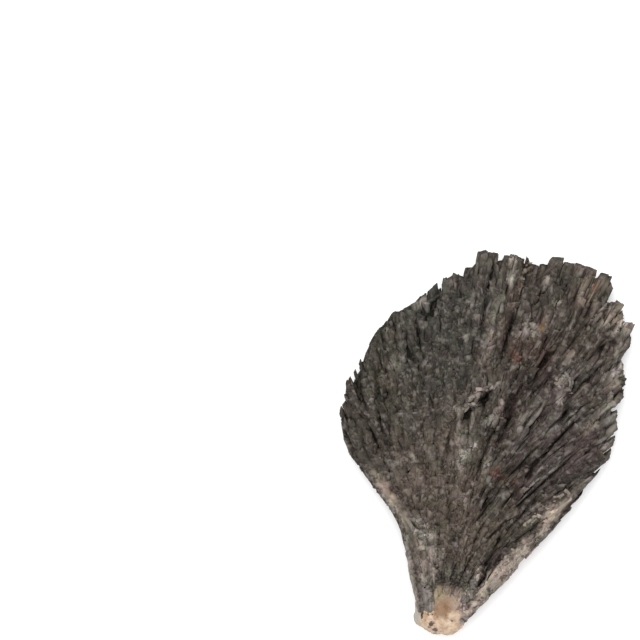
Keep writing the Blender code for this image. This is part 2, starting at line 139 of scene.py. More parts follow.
# The upper edge of the bare feldspar, which small blades overlap.
COLLAR = (
    (-3.6, 9.6), (-2.6, 11.6), (-2.0, 13.6), (-0.8, 15.2), (1.2, 15.8), (3.2, 15.2), (4.6, 13.4), (5.2, 11.2),
)
COLLAR_COUNT = 90

# The blades of the faces, rim and flanks stay farther from the apex than this.
ROOT_RADIUS = 9.4
# The shares of a blade's length at which its rings lie, by the number of rings.
STATIONS = {5: (0.0, 0.4, 0.74, 0.93, 1.0), 3: (0.0, 0.8, 1.0)}
# Blades and splinters scattered over each face, ribs, layers along the rim, and blades along each flank.
FRONT_COUNT, FRONT_SPLINTERS, BACK_COUNT, BACK_SPLINTERS = 4800, 2600, 2300, 1000
RIB_COUNT, RIM_LAYERS, FLANK_COUNT = 520, 12, 420
# The ridges that neighbouring blades form: degrees across, length and height.
BUNDLE_ACROSS, BUNDLE_ALONG, BUNDLE_RISE = 2.6, 15.0, 0.4
# The radius at which lines of growth leave the root.
STREAM_RADIUS = 12.0
# The relief maps' half sizes in X and Y, and the distance between their points.
MAP_X, MAP_Y, MAP_STEP = 31.0, 42.0, 0.2
# The radius at which blades have their full size. Farther out they are slightly larger.
FULL_GROWTH = 55.0
# Each flank's blades: the flank, the side of it that they lie on, the radius where they end, and how far
# within the flank they rest.
FLANKS = ((LEFT_FLANK, 1.0, 44.5, 0.82), (RIGHT_FLANK, -1.0, 47.5, 0.66))
# The distance round a blade to each of its six corners, in widths, and how rough its faces are.
BLADE_ROUND, BLADE_ROUGH = np.array((0.0, 1.0, 1.25, 1.75, 2.25, 2.4)), 0.09
# The lowest that a blade comes above the surface that the fan rests on.
LOWEST = 0.02
# The ground's rows out from the root, its columns across, the radius where it starts, and its first angle
# and sweep at the rim.
GROUND_ROWS, GROUND_COLUMNS, GROUND_START = 200, 170, 9.9
GROUND_FIRST, GROUND_SWEEP = -31.6, 61.4
# How far the ground lies within the flanks, the rim and the faces, and the height that parts its two faces.
GROUND_INSET, GROUND_SHORT, GROUND_SINK, GROUND_FRONT = 1.3, 2.0, 0.42, 3.0
# Where in the thickness the rim stands out farthest, and how far from the middle its outer layers begin, both
# as shares of the thickness.
RIM_MIDDLE, RIM_OUTER = 0.48, 0.24

# ------------ colours, as sRGB out of 255

DARK = (49, 45, 41)
COOL, GREEN, WARM, BROWN, PURPLE = (42, 42, 39), (48, 47, 40), (53, 48, 44), (68, 61, 54), (48, 41, 40)
PALE, LIGHT, CREAM, TAN = (110, 102, 94), (148, 138, 128), (168, 153, 139), (122, 110, 96)
# The near-black colour in this row is painted shade, for the deepest pits.
RUST, RUST_DARK, OCHRE, PIT_SHADE = (122, 74, 44), (78, 50, 42), (74, 60, 42), (30, 26, 24)
REDDISH_DARK, BROWN_DARK, PLUM, SLATE = (54, 41, 37), (48, 38, 32), (44, 36, 36), (36, 35, 33)
OLIVE, LILAC, SAGE = (158, 138, 114), (122, 112, 112), (112, 112, 96)
# Patches: centre from the apex, radii, turn from +Y, colour and strength. Later ones lie over earlier ones,
# and the strokes and holes below lie over all of them.
PATCHES = (
    ((-13.0, 66.0), (10.0, 16.0), -14.0, COOL, 0.8), ((-22.0, 55.0), (5.0, 12.0), -25.0, GREEN, 0.7),
    ((13.0, 72.0), (13.0, 13.0), 14.0, WARM, 0.8), ((14.0, 46.0), (11.0, 12.0), 25.0, PURPLE, 0.9),
    ((-4.0, 34.0), (10.0, 15.0), -4.0, BROWN, 0.7), ((9.0, 62.0), (8.0, 4.0), 80.0, PURPLE, 0.7),
    ((24.0, 60.0), (3.0, 10.0), 0.0, WARM, 0.6), ((7.0, 27.0), (4.0, 7.0), 15.0, BROWN, 0.5),
    ((-4.8, 22.5), (2.8, 5.5), -14.0, PALE, 0.5), ((24.0, 72.4), (1.5, 3.2), 15.0, LIGHT, 0.5),
    ((-2.3, 42.2), (1.3, 1.0), 20.0, LIGHT, 0.9), ((-2.4, 40.6), (0.6, 1.8), 0.0, LIGHT, 0.6),
    ((2.7, 41.3), (0.6, 0.7), 0.0, LIGHT, 0.4), ((0.4, 32.8), (0.5, 1.0), -20.0, LIGHT, 0.7),
    ((10.1, 75.6), (0.8, 0.8), 0.0, LIGHT, 0.9), ((6.7, 79.3), (0.5, 1.2), 20.0, LIGHT, 0.7),
    ((5.2, 68.0), (1.5, 1.0), 60.0, PALE, 0.25), ((0.0, 67.9), (1.0, 1.8), 0.0, PALE, 0.7),
    ((8.0, 70.2), (0.9, 1.4), 0.0, OCHRE, 0.8), ((-15.2, 36.0), (3.0, 1.3), 0.0, PALE, 0.2),
    ((-0.6, 75.7), (1.0, 0.9), 0.0, BROWN_DARK, 0.8), ((14.5, 65.6), (0.7, 1.7), 30.0, LIGHT, 0.5),
    ((14.3, 60.3), (1.0, 1.7), 50.0, PALE, 0.45), ((17.6, 58.7), (0.8, 1.4), 30.0, DARK, 0.3),
    # Round the two pits: the near-black patches are painted shade in them, and the pale patches at (2.4,
    # 50.9) and (-4.2, 51.2) are partly painted highlight on their raised lips.
    ((14.3, 56.6), (0.9, 0.6), 0.0, LIGHT, 0.6), ((2.4, 50.9), (0.9, 1.5), 35.0, LIGHT, 0.4),
    ((0.0, 54.0), (0.7, 1.5), 18.0, PIT_SHADE, 0.9), ((-3.1, 50.1), (0.55, 1.5), 33.0, PIT_SHADE, 0.9),
    ((1.0, 52.0), (0.8, 0.8), 30.0, PLUM, 0.4), ((-4.2, 51.2), (1.2, 0.7), 30.0, PALE, 0.7),
    ((8.0, 51.0), (0.6, 2.4), 25.0, PALE, 0.7), ((10.6, 53.0), (0.5, 2.2), 28.0, PALE, 0.6),
    ((6.4, 46.7), (0.6, 2.2), 18.0, DARK, 0.5), ((11.0, 44.6), (0.5, 2.2), 32.0, PALE, 0.6),
    ((16.6, 52.6), (0.5, 2.4), 36.0, PALE, 0.3), ((12.7, 49.7), (0.6, 2.8), 33.0, PALE, 0.4),
    ((20.8, 52.3), (0.8, 1.8), 40.0, LIGHT, 0.6), ((22.6, 54.9), (0.9, 2.2), 30.0, PALE, 0.8),
    ((-19.5, 56.6), (1.4, 1.7), 0.0, PALE, 0.4), ((-6.6, 64.8), (0.6, 0.7), 0.0, LIGHT, 0.4),
    ((-12.2, 39.3), (1.2, 0.7), 0.0, LIGHT, 0.5), ((-11.4, 74.7), (0.6, 1.0), 0.0, LIGHT, 0.7),
    ((16.0, 80.0), (2.2, 3.4), 20.0, TAN, 0.4), ((-5.3, 73.2), (6.0, 4.4), 0.0, SLATE, 0.7),
    ((21.5, 75.5), (2.0, 3.4), 15.0, TAN, 0.5), ((7.0, 65.0), (4.5, 2.4), 10.0, REDDISH_DARK, 0.8),
    ((4.1, 63.4), (2.1, 1.1), 10.0, RUST_DARK, 0.7), ((5.2, 39.8), (1.7, 0.9), 15.0, RUST_DARK, 0.75),
    ((8.9, 38.9), (0.7, 0.7), 0.0, RUST_DARK, 0.5), ((16.8, 80.3), (0.8, 1.0), 0.0, RUST, 0.45),
    # The near-black patch in this row is painted shade in a pit.
    ((18.8, 79.8), (0.5, 0.9), 15.0, PIT_SHADE, 0.8), ((13.9, 83.2), (0.8, 0.9), 10.0, PALE, 0.7),
    ((17.9, 74.5), (1.1, 1.7), 10.0, PALE, 0.6), ((19.5, 80.6), (0.7, 1.0), 0.0, PALE, 0.5),
    ((14.5, 78.6), (0.6, 1.1), 15.0, LIGHT, 0.6), ((16.3, 77.8), (0.6, 1.2), 20.0, TAN, 0.8),
    ((19.1, 77.5), (0.5, 1.4), 20.0, LIGHT, 0.6), ((-4.2, 21.6), (0.8, 1.6), -10.0, LIGHT, 0.8),
    ((-6.4, 23.0), (0.6, 1.2), -10.0, LIGHT, 0.7), ((-5.6, 19.2), (0.5, 1.4), -15.0, LIGHT, 0.7),
    ((-3.4, 18.0), (0.5, 1.6), -10.0, LIGHT, 0.6), ((-2.0, 22.6), (0.5, 1.0), 0.0, LIGHT, 0.6),
    ((-4.8, 16.4), (0.5, 1.2), -12.0, LIGHT, 0.6), ((-0.3, 18.7), (0.9, 0.6), 0.0, PALE, 0.5),
    ((-2.4, 44.5), (1.8, 11.0), -2.0, PALE, 0.2), ((-12.4, 33.5), (3.6, 5.0), -20.0, PALE, 0.2),
    ((1.4, 12.6), (3.4, 3.4), 0.0, TAN, 0.8), ((-0.9, 13.6), (1.9, 1.7), 0.0, OLIVE, 0.8),
    ((-0.6, 16.4), (2.2, 1.2), 0.0, DARK, 0.6), ((3.8, 14.1), (0.8, 1.7), 20.0, CREAM, 0.9),
    ((6.0, 14.4), (0.8, 1.9), 25.0, DARK, 0.85), ((6.1, 54.4), (1.3, 2.6), 10.0, PLUM, 0.75),
    ((4.6, 12.4), (1.5, 3.0), 20.0, CREAM, 0.7), ((-3.6, 12.6), (0.9, 2.8), -12.0, LILAC, 0.6),
    ((-3.0, 11.5), (1.6, 2.6), -14.0, LIGHT, 0.25), ((17.2, 35.6), (1.3, 2.2), 30.0, PALE, 0.4),
    # These two plum patches are painted shadow, plum-tinted, in the hollow beside the raised pale strip on
    # the right flank.
    ((9.0, 24.0), (1.3, 2.8), 25.0, PLUM, 0.9), ((6.5, 19.7), (0.9, 2.2), 20.0, PLUM, 0.8),
)
# Lines with both a pale stroke and crumbs: above the pits, round a small ring, and a bar at the lower left.
# The pale above the pits is partly painted highlight on their raised lip.
PIT_LIP = ((-2.7, 53.9), (-1.0, 55.4), (0.1, 56.3), (2.5, 58.1))
PALE_RING = ((4.5, 68.2), (4.7, 70.0), (6.0, 70.5), (6.8, 69.2), (5.7, 67.9), (4.5, 68.2))
LEFT_BAR = ((-10.2, 27.5), (-8.0, 27.2), (-6.4, 26.8))
# Strokes: a line's points from the apex, its width, colour and strength.
STROKES = (
    (((-0.4, 82.4), (-0.2, 80.6), (-0.7, 77.6)), 1.5, LIGHT, 0.7),
    (((2.0, 82.6), (1.7, 78.6), (1.5, 75.4), (0.7, 70.9), (0.8, 65.6)), 0.9, BROWN_DARK, 0.85),
    (PALE_RING, 0.6, PALE, 0.65),
    (((24.3, 66.8), (24.0, 64.4), (24.2, 61.4), (24.8, 58.0), (25.4, 53.6), (25.2, 49.0)), 3.0, PALE, 0.85),
    (((10.6, 37.4), (13.2, 39.9), (16.0, 43.1)), 0.9, PALE, 0.7),
    (((-5.0, 50.5), (-4.4, 48.0), (-4.1, 44.0)), 0.8, PALE, 0.6),
    (((19.6, 73.2), (20.6, 75.6), (21.0, 77.4)), 0.6, LIGHT, 0.6),
    (((22.2, 71.6), (22.9, 73.4), (23.4, 75.0)), 0.6, LIGHT, 0.7),
    (((-1.1, 74.4), (-1.5, 71.6), (-1.9, 69.5)), 1.0, SAGE, 0.5),
    (((-1.8, 67.1), (-1.8, 64.1), (-2.5, 60.6)), 1.1, PALE, 0.75),
    (((-17.6, 69.4), (-15.9, 70.4)), 1.6, PALE, 0.9),
    (((4.8, 12.0), (6.4, 15.4), (8.4, 18.8), (10.4, 21.8), (12.6, 25.0), (14.2, 27.4)), 2.4, CREAM, 0.7),
    (((6.8, 13.2), (7.9, 15.0), (10.2, 19.1), (12.8, 23.6), (14.6, 26.6)), 2.4, CREAM, 0.8),
    (((19.9, 37.6), (17.6, 34.1), (16.6, 31.8), (16.6, 30.2)), 2.1, CREAM, 0.7),
    (((20.2, 38.4), (23.3, 42.5)), 1.4, PALE, 0.7),
    (((24.2, 41.4), (22.7, 38.9), (20.6, 35.4), (18.5, 32.0), (17.6, 30.6)), 2.0, BROWN_DARK, 0.45),
    (((11.2, 22.2), (12.6, 24.2)), 0.9, BROWN_DARK, 0.85), (((14.6, 26.9), (16.2, 29.0)), 1.0, BROWN, 0.8),
    (((4.5, 14.5), (5.6, 20.4)), 0.8, CREAM, 0.6),
    # These three pale strokes round the two pits are partly painted highlight on their raised lips.
    (((-5.3, 50.6), (-3.2, 51.9), (-1.2, 52.8)), 0.9, PALE, 0.7),
    (PIT_LIP, 0.9, PALE, 0.6),
    (((0.6, 48.8), (2.2, 50.9), (3.3, 53.7)), 0.9, LIGHT, 0.5),
    (((-18.7, 34.8), (-17.1, 33.4), (-14.5, 30.9), (-12.0, 28.5), (-10.4, 26.5)), 1.8, TAN, 0.65),
    (((-17.8, 32.8), (-13.0, 28.4)), 0.9, LIGHT, 0.35),
    (((-21.4, 35.6), (-17.4, 31.4), (-13.8, 27.6), (-11.6, 25.2)), 0.7, BROWN_DARK, 0.5),
    (((-9.9, 23.5), (-7.5, 17.0), (-4.8, 10.5), (-4.4, 8.0)), 1.1, LIGHT, 0.45),
    (LEFT_BAR, 0.9, LIGHT, 0.8),
    (((-8.6, 25.3), (-6.8, 25.0), (-5.0, 25.3)), 1.1, LIGHT, 0.9),
    (((6.2, 11.4), (9.4, 17.0), (11.0, 19.6)), 1.3, BROWN, 0.6),
)
# Lines of pale crumbs: points from the apex, width and colour.
WHITISH, PINKISH, DRAB = (110, 103, 97), (128, 117, 107), (96, 85, 72)
CRUMB_LINES = (
    # The first four lines, round the two pits, are pale crumbs whose paleness is partly painted highlight on
    # the pits' raised lips.
    (((-5.7, 50.6), (-5.0, 51.8)), 0.9, WHITISH),
    (((-5.1, 50.8), (-3.4, 51.8), (-1.4, 52.6)), 0.8, WHITISH),
    (PIT_LIP, 0.8, WHITISH),
    (((0.4, 48.4), (1.4, 50.0), (2.6, 51.4), (3.3, 53.4)), 0.9, WHITISH),
    (((0.5, 35.6), (-0.4, 33.8), (0.3, 31.9), (1.2, 30.8)), 0.5, WHITISH),
    (
        ((12.8, 31.7), (14.7, 33.2), (16.4, 33.0), (17.3, 32.3), (17.0, 31.2), (15.6, 30.0), (14.7, 29.3)),
        0.8, PINKISH,
    ),
    (((3.9, 12.6), (4.4, 14.8), (4.9, 16.8), (5.8, 20.6)), 0.8, WHITISH),
    (LEFT_BAR, 0.7, WHITISH),
    (((-8.8, 25.2), (-6.8, 24.9), (-5.0, 25.3)), 0.8, WHITISH),
    (
        ((13.3, 60.0), (13.8, 61.4), (15.0, 61.7), (16.0, 60.6), (15.6, 59.0), (14.0, 58.7), (13.3, 60.0)),
        0.9, WHITISH,
    ),
    (PALE_RING, 0.6, WHITISH),
    (((2.7, 82.4), (2.4, 80.0), (1.9, 76.2), (1.6, 74.6)), 0.4, DRAB),
    (((-0.6, 44.6), (-1.9, 42.2), (-2.4, 39.6)), 1.0, WHITISH),
    (((11.2, 24.4), (12.6, 25.6), (13.6, 27.4)), 1.0, PINKISH),
    (((8.8, 20.0), (9.6, 21.4), (10.6, 20.8), (9.8, 19.6)), 0.7, PINKISH),
    (((10.2, 23.0), (11.4, 23.8), (12.2, 22.8)), 0.7, PINKISH),
    (((15.6, 35.2), (17.2, 35.4), (18.6, 37.2)), 0.9, PINKISH),
    (((17.6, 38.0), (19.4, 38.9), (20.8, 38.2)), 0.8, PINKISH),
)
# The distance between crumbs on a line of this width. Broader lines have more.
CRUMB_STEP, CRUMB_WIDTH = 0.4, 0.7
# How much paler the blades' ends are by angle along the rim, as a share of their own colour.
RIM_LIGHT = (
    (-34.0, 0.5), (-30.0, 0.3), (-26.0, 0.0), (-20.0, -0.1), (-17.0, 0.45), (-14.5, 0.45), (-12.5, 0.1),
    (-9.0, 0.8), (-3.0, 0.8), (0.0, 0.4), (4.0, 0.3), (7.0, 0.9), (10.0, 0.4), (14.0, 0.3), (17.0, 0.5),
    (20.0, 1.1), (23.0, 0.2), (30.0, 0.2),
)
# Dark holes in the pale band: centre from the apex, and radii. All have one turn and one strength.
HOLE_TURN, HOLE_STRENGTH = 30.0, 0.9
HOLES = (
    ((12.5, 24.0), (0.35, 0.35)), ((10.6, 22.7), (0.9, 0.5)), ((9.6, 20.5), (0.3, 0.3)),
    ((19.7, 37.9), (0.45, 0.35)), ((17.5, 36.8), (0.5, 0.35)), ((15.5, 31.9), (0.8, 0.45)),
    ((14.6, 28.5), (1.1, 0.9)), ((14.4, 26.6), (0.3, 0.3)), ((8.0, 17.6), (0.5, 0.8)),
    ((6.4, 15.2), (0.4, 0.6)), ((11.6, 26.4), (0.6, 0.5)), ((4.9, 12.4), (0.5, 0.6)),
    ((5.7, 14.7), (0.75, 2.2)),
)
# What the materials blend in: dust, flecks, specks, veins and holes, then faint tints as factors. The flecks
# and specks are painted glints as well as pale grains.
DUSTY = (126, 115, 104)
FLECK, SPECK = (126, 116, 106), (132, 123, 113)
VEIN, HOLE = (172, 157, 143), (50, 42, 36)
GREENISH, REDDISH = (0.96, 1.01, 0.96, 1.0), (1.07, 0.98, 0.96, 1.0)
OLIVISH, PURPLISH = (1.0, 1.01, 0.91, 1.0), (1.05, 0.96, 1.01, 1.0)
IN_DARK, IN_PALE = (1.03, 1.0, 0.97, 1.0), (0.95, 1.0, 1.07, 1.0)
STREAK_HUE = (-0.08, 0.0, 0.06)
FELDSPAR_DIM = (0.74, 0.74, 0.74, 1.0)
# The feldspar's own colours.
PEACH, BISCUIT, MILKY, TOFFEE = (202, 174, 148), (186, 158, 130), (212, 194, 172), (158, 130, 102)
BLUISH_GREY = (158, 155, 148)
# Stains on the feldspar, and painted shade in its pits: place from the apex, reach, colour and strength.
FELDSPAR_STAINS_AND_SHADE = (
    ((-0.9, 14.0), 2.6, (136, 122, 95), 0.9), ((1.4, 12.8), 2.4, (137, 115, 94), 0.85),
    ((3.6, 12.6), 1.9, (158, 138, 124), 0.8), ((-0.1, 11.0), 2.3, (136, 103, 74), 0.9),
    # These two are painted shade: in the dark pits and on the feldspar's lower edge.
    ((-1.5, 7.6), 0.75, (60, 34, 18), 0.95), ((-0.3, 6.5), 0.9, (70, 44, 26), 0.9),
    ((3.4, 12.0), 0.7, (100, 76, 64), 0.8), ((-2.9, 9.1), 0.9, (168, 132, 96), 0.8),
    ((2.2, 14.6), 0.9, (104, 84, 70), 0.7), ((5.2, 9.6), 1.5, (150, 138, 134), 0.8),
)

# ------------ camera and light

# The photograph's frame: its width in pixels, the apex's place in it, one pixel's size, and the fan's turn.
FRAME_PIXELS, APEX_PIXEL = 640.0, (429.7, 662.0)
PIXEL, FAN_TURN = 0.2, math.radians(12.0)
# The lens, the sensor's width, and the height on the fan at which a pixel has that size.
LENS, SENSOR, PICTURE_HEIGHT = 150.0, 36.0, 5.5
# The light from all sides, the floor's half size in metres and its grey, then the key light.
WORLD_LIGHT, FLOOR_SIZE, FLOOR_SHADE = 1.2, 3.0, 0.93
KEY_PLACE, KEY_SIZE, KEY_WATTS = (-130.0, 190.0, 500.0), 460.0, 2.5


# ------------ shared mathematics


def at(table, x):
    """The value at x on the straight runs between a table's points."""
    return np.interp(x, [p[0] for p in table], [p[1] for p in table])


def ease(low, high, x):
    """0 at low, 1 at high, and a smooth change between."""
    t = np.clip((x - low) / (high - low), 0.0, 1.0)
    return t * t * (3.0 - 2.0 * t)


def lumps(x, y, seed):
    """Smooth noise from -1 to 1 over a plane, with about one lump to each unit. Each seed has its pattern."""
    cx, cy = np.floor(x), np.floor(y)
    fx, fy = x - cx, y - cy
    fx, fy = fx * fx * (3.0 - 2.0 * fx), fy * fy * (3.0 - 2.0 * fy)

    def corner(i, j):
        wave = np.sin((cx + i) * 127.1 + (cy + j) * 311.7 + seed * 74.7) * 43758.5453
        return 2.0 * (wave - np.floor(wave)) - 1.0

    low = corner(0, 0) * (1.0 - fx) + corner(1, 0) * fx
    high = corner(0, 1) * (1.0 - fx) + corner(1, 1) * fx
    return low * (1.0 - fy) + high * fy


def polar(x, y):
    """Angle and radius of places in the part's frame."""
    dx, dy = x - APEX[0], y - APEX[1]
    return np.degrees(np.arctan2(dx, dy)), np.hypot(dx, dy)


def place(angle, radius):
    """The inverse of polar."""
    turn = np.radians(angle)
    return APEX[0] + radius * np.sin(turn), APEX[1] + radius * np.cos(turn)


def xy(points):
    return points[..., 0], points[..., 1]


def from_apex(x, y):
    return x - APEX[0], y - APEX[1]


# ------------ the fan's surfaces


def edge_share(angle, radius):
    """0 at the middle of the fan and 1 on a flank's edge."""
    within = np.minimum(angle - at(LEFT_FLANK, radius), at(RIGHT_FLANK, radius) - angle)
    return 1.0 - np.clip(within / FLANK_ROUND, 0.0, 1.0)


def front_height(angle, radius):
    outer = ease(24.0, 44.0, radius)
    crest = CREST_RISE * outer * np.exp(-(((angle - CREST_ANGLE) / CREST_WIDTH) ** 2))
    valley = VALLEY_DROP * outer * np.exp(-(((angle - VALLEY_ANGLE) / VALLEY_WIDTH) ** 2))
    return at(FRONT_HEIGHT, radius) + crest - valley - FLANK_FALL * edge_share(angle, radius) ** 2


def back_height(angle, radius):
    return at(BACK_HEIGHT, radius) + FLANK_LIFT * edge_share(angle, radius) ** 2


def lean(angle, radius):
    """The direction in which a blade grows at a place, in degrees from +Y."""
    left = -LEFT_SPLAY * ease(5.0, 20.0, -angle) * ease(25.0, 45.0, radius)
    band = ease(18.0, 42.0, radius) * (1.0 - 0.85 * ease(60.0, 80.0, radius))
    right = RIGHT_SPLAY * ease(0.0, 10.0, angle) * band * (1.0 - ease(26.0, 31.0, angle))
    return angle + left + right


def rim_radius(angle):
    """The rim with its blunt ends, notches and small breaks."""
    return at(RIM_ENDS, angle) + 0.22 * lumps(angle / 0.5, 0.0 * angle, 61.0)


def within_outline(x, y):
    """Places beyond the outline are brought back to it."""
    angle, radius = polar(x, y)
    turn = np.degrees((0.1 + 0.15 * lumps(radius / 0.9, 0.0 * radius, 62.0)) / np.maximum(radius, 1.0))
    angle = np.clip(angle, at(LEFT_FLANK, radius) + turn, at(RIGHT_FLANK, radius) - turn)
    return place(angle, np.minimum(radius, rim_radius(angle) + 0.12))


def inside(x, y, margin):
    """Whether places are inside the outline by a margin, and off the bare feldspar."""
    angle, radius = polar(x, y)
    turn = np.degrees(margin / np.maximum(radius, 1.0))
    kept = (angle > at(LEFT_FLANK, radius) + turn) & (angle < at(RIGHT_FLANK, radius) - turn)
    kept &= radius < rim_radius(angle) - margin
    ax, ay = from_apex(x, y)
    ragged = 0.45 * lumps(x / 0.8, y / 1.6, 44.0)
    for (bx, by), (rx, ry) in BARE:
        kept &= ((ax - bx) / rx) ** 2 + ((ay - by) / ry) ** 2 + ragged > 1.0
    return kept & (radius > ROOT_RADIUS)


def stream(angle, radius):
    """The angle at which the line of growth through a place leaves the root. Neighbouring blades share it."""
    traced = np.array(angle, float)
    steps = 14
    for i in range(steps):
        here = radius + (STREAM_RADIUS - radius) * (i + 0.5) / steps
        off = np.radians(lean(traced, here) - traced)
        traced = traced + np.degrees(np.tan(off) / np.maximum(here, 5.0)) * (STREAM_RADIUS - radius) / steps
    return traced


def bundles(x, y, seed):
    """Height of the long ridges and furrows that neighbouring blades form together."""
    angle, radius = polar(x, y)
    at_root = stream(angle, radius)
    wide = lumps(at_root / BUNDLE_ACROSS, radius / BUNDLE_ALONG, seed)
    fine = lumps(at_root / (0.42 * BUNDLE_ACROSS) + 9.0, radius / (0.4 * BUNDLE_ALONG), seed + 1.0)
    spots = lumps(x / 1.7, y / 2.3, seed + 2.0)
    return BUNDLE_RISE * ease(10.0, 30.0, radius) * (0.8 * wide + 0.6 * fine + 0.6 * spots)


class Relief:
    """A map of one face's relief in millimetres, on a fine grid, which is read between its points."""

    def __init__(self, seed):
        self.dice = np.random.default_rng(seed)
        self.x = np.arange(-MAP_X, MAP_X, MAP_STEP)
        self.y = np.arange(-MAP_Y, MAP_Y, MAP_STEP)
        gx, gy = np.meshgrid(self.x, self.y, indexing="ij")
        self.height = bundles(gx, gy, float(seed))
        self.open = np.zeros_like(self.height)
        self.kept = inside(gx, gy, 1.0)

    def window(self, x, y, aim, reach):
        """The grid cells near a place, with their distances along and across a direction in degrees."""
        i = slice(max(0, int((x - reach + MAP_X) / MAP_STEP)), int((x + reach + MAP_X) / MAP_STEP) + 1)
        j = slice(max(0, int((y - reach + MAP_Y) / MAP_STEP)), int((y + reach + MAP_Y) / MAP_STEP) + 1)
        gx, gy = np.meshgrid(self.x[i] - x, self.y[j] - y, indexing="ij")
        turn = math.radians(aim)
        return (i, j), gx * math.sin(turn) + gy * math.cos(turn), gx * math.cos(turn) - gy * math.sin(turn)

    def lay_plates(self, count, length, width, rise):
        """Broad blades laid like shingles: each rises towards its outer end, and breaks off there."""
        x, y = scattered(count, 0.5, 7)
        for px, py in zip(x, y):
            angle, radius = polar(px, py)
            scale = 0.55 + 0.45 * min(1.3, radius / FULL_GROWTH)
            long, wide = self.dice.uniform(*length) * scale, self.dice.uniform(*width) * scale
            aim = float(lean(angle, radius)) + self.dice.normal(0.0, 5.0)
            cells, along, across = self.window(px, py, aim, long + wide)
            skew = self.dice.uniform(-0.7, 0.7)
            run = 1.0 + (along + skew * across) / long
            on = (run > 0.0) & (run < 1.0) & (np.abs(across) < 0.5 * wide)
            self.height[cells] += np.where(on, self.dice.uniform(*rise) * run, 0.0)
        self.height -= self.height[self.kept].mean()

    def open_slit(self, start, end, width, depth):
        """One open slit or pit with steep sides, between two places of the part's frame."""
        (x0, y0), (x1, y1) = start, end
        length = math.hypot(x1 - x0, y1 - y0) + width
        x, y = 0.5 * (x0 + x1), 0.5 * (y0 + y1)
        cells, along, across = self.window(x, y, math.degrees(math.atan2(x1 - x0, y1 - y0)), length)
        run = np.clip(1.0 - (2.0 * np.abs(along) / length) ** 3, 0.0, 1.0)
        ragged = 0.3 * width * lumps(along / 0.7 + x, 0.0 * along + y, 33.0)
        broad = 0.5 * width * (0.85 + 0.45 * lumps(along / 0.5 + y, across / 0.5 + x, 34.0))
        within = np.exp(-(((across + ragged) / broad) ** 4))
        share = run * within
        lip = np.exp(-(((across + ragged) / (broad + 0.45)) ** 4)) - within
        self.height[cells] += 0.28 * run * lip - depth * share
        self.open[cells] = np.maximum(self.open[cells], share)

    def open_slits(self, count, length, width, depth, seed, from_angle=-90.0):
        """Slits along the growth, scattered over the face to the right of an angle."""
        x, y = scattered(count, 0.9, seed)
        kept = polar(x, y)[0] > from_angle
        x, y = x[kept], y[kept]
        aim = np.radians(lean(*polar(x, y)) + self.dice.normal(0.0, 8.0, len(x)))
        for px, py, turn in zip(x, y, aim):
            reach = 0.5 * self.dice.uniform(*length)
            dx, dy = reach * math.sin(turn), reach * math.cos(turn)
            size, down = self.dice.uniform(*width), self.dice.uniform(*depth)
            self.open_slit((px - dx, py - dy), (px + dx, py + dy), size, down)

    def open_inwards(self, start, angle, radius, stray, length, width, depth):
        """One slit from a place towards the root, its sizes drawn from the ranges given."""
        aim = math.radians(float(lean(angle, radius)) + self.dice.normal(0.0, stray))
        end = np.array(start) - self.dice.uniform(*length) * np.array((math.sin(aim), math.cos(aim)))
        self.open_slit(start, end, self.dice.uniform(*width), self.dice.uniform(*depth))

    def open_rim(self):
        """The dark gaps that run inwards between the broken ends of the rim, and those within the ends."""
        for before, after in zip(RIM_BLOCKS[:-1], RIM_BLOCKS[1:]):
            angle, radius = 0.5 * (before[1] + after[0]), 0.5 * (before[3] + after[2])
            self.open_inwards(
                place(angle, radius + 0.3), angle, radius, 4.0,
                length=(1.2, 4.6), width=(0.4, 0.9), depth=(0.8, 2.0),
            )
        for first, last, low, high in RIM_BLOCKS:
            angle, radius = self.dice.uniform(first, last), min(low, high) - self.dice.uniform(1.2, 6.0)
            self.open_inwards(
                place(angle, radius), angle, radius, 6.0,
                length=(0.6, 2.2), width=(0.4, 0.8), depth=(0.7, 1.5),
            )

    def clear(self, path, width):
        """Which blades lie across no open slit."""
        for _ in range(2):
            middles = 0.5 * (path[:, 1:] + path[:, :-1])
            path = np.concatenate((path, middles), 1)
            path = path[:, np.argsort(path[0, :, 1])] if len(path) else path
        x, y = xy(path)
        aside = 0.15 * width[:, None]
        found = [self.sample(self.open, x + side * aside, y) for side in (-1.0, 0.0, 1.0)]
        return np.maximum.reduce(found).max(1) < 0.5

    def sample(self, field, x, y):
        fx, fy = (x + MAP_X) / MAP_STEP, (y + MAP_Y) / MAP_STEP
        i = np.clip(fx.astype(int), 0, len(self.x) - 2)
        j = np.clip(fy.astype(int), 0, len(self.y) - 2)
        u, v = np.clip(fx - i, 0.0, 1.0), np.clip(fy - j, 0.0, 1.0)
        low = field[i, j] * (1.0 - u) + field[i + 1, j] * u
        high = field[i, j + 1] * (1.0 - u) + field[i + 1, j + 1] * u
        return low * (1.0 - v) + high * v

    def __call__(self, x, y):
        return self.sample(self.height, x, y)


def front_surface(x, y):
    return front_height(*polar(x, y)) + FRONT_RELIEF(x, y)


def back_surface(x, y):
    return back_height(*polar(x, y)) - BACK_RELIEF(x, y)


def normals(surface, x, y, sign):
    """Unit normals of a face, smoothed over a millimetre, pointing out of it."""
    step = 0.5
    dx = (surface(x + step, y) - surface(x - step, y)) / (2.0 * step)
    dy = (surface(x, y + step) - surface(x, y - step)) / (2.0 * step)
    found = np.stack((-dx * sign, -dy * sign, np.full_like(dx, sign)), -1)
    return found / np.linalg.norm(found, axis=-1, keepdims=True)


# ------------ blades in bulk


def stations(rings):
    return np.array(STATIONS[rings])[None, :]


def growth_direction(x, y, stray):
    aim = np.radians(lean(*polar(x, y)) + stray)
    return np.sin(aim), np.cos(aim)


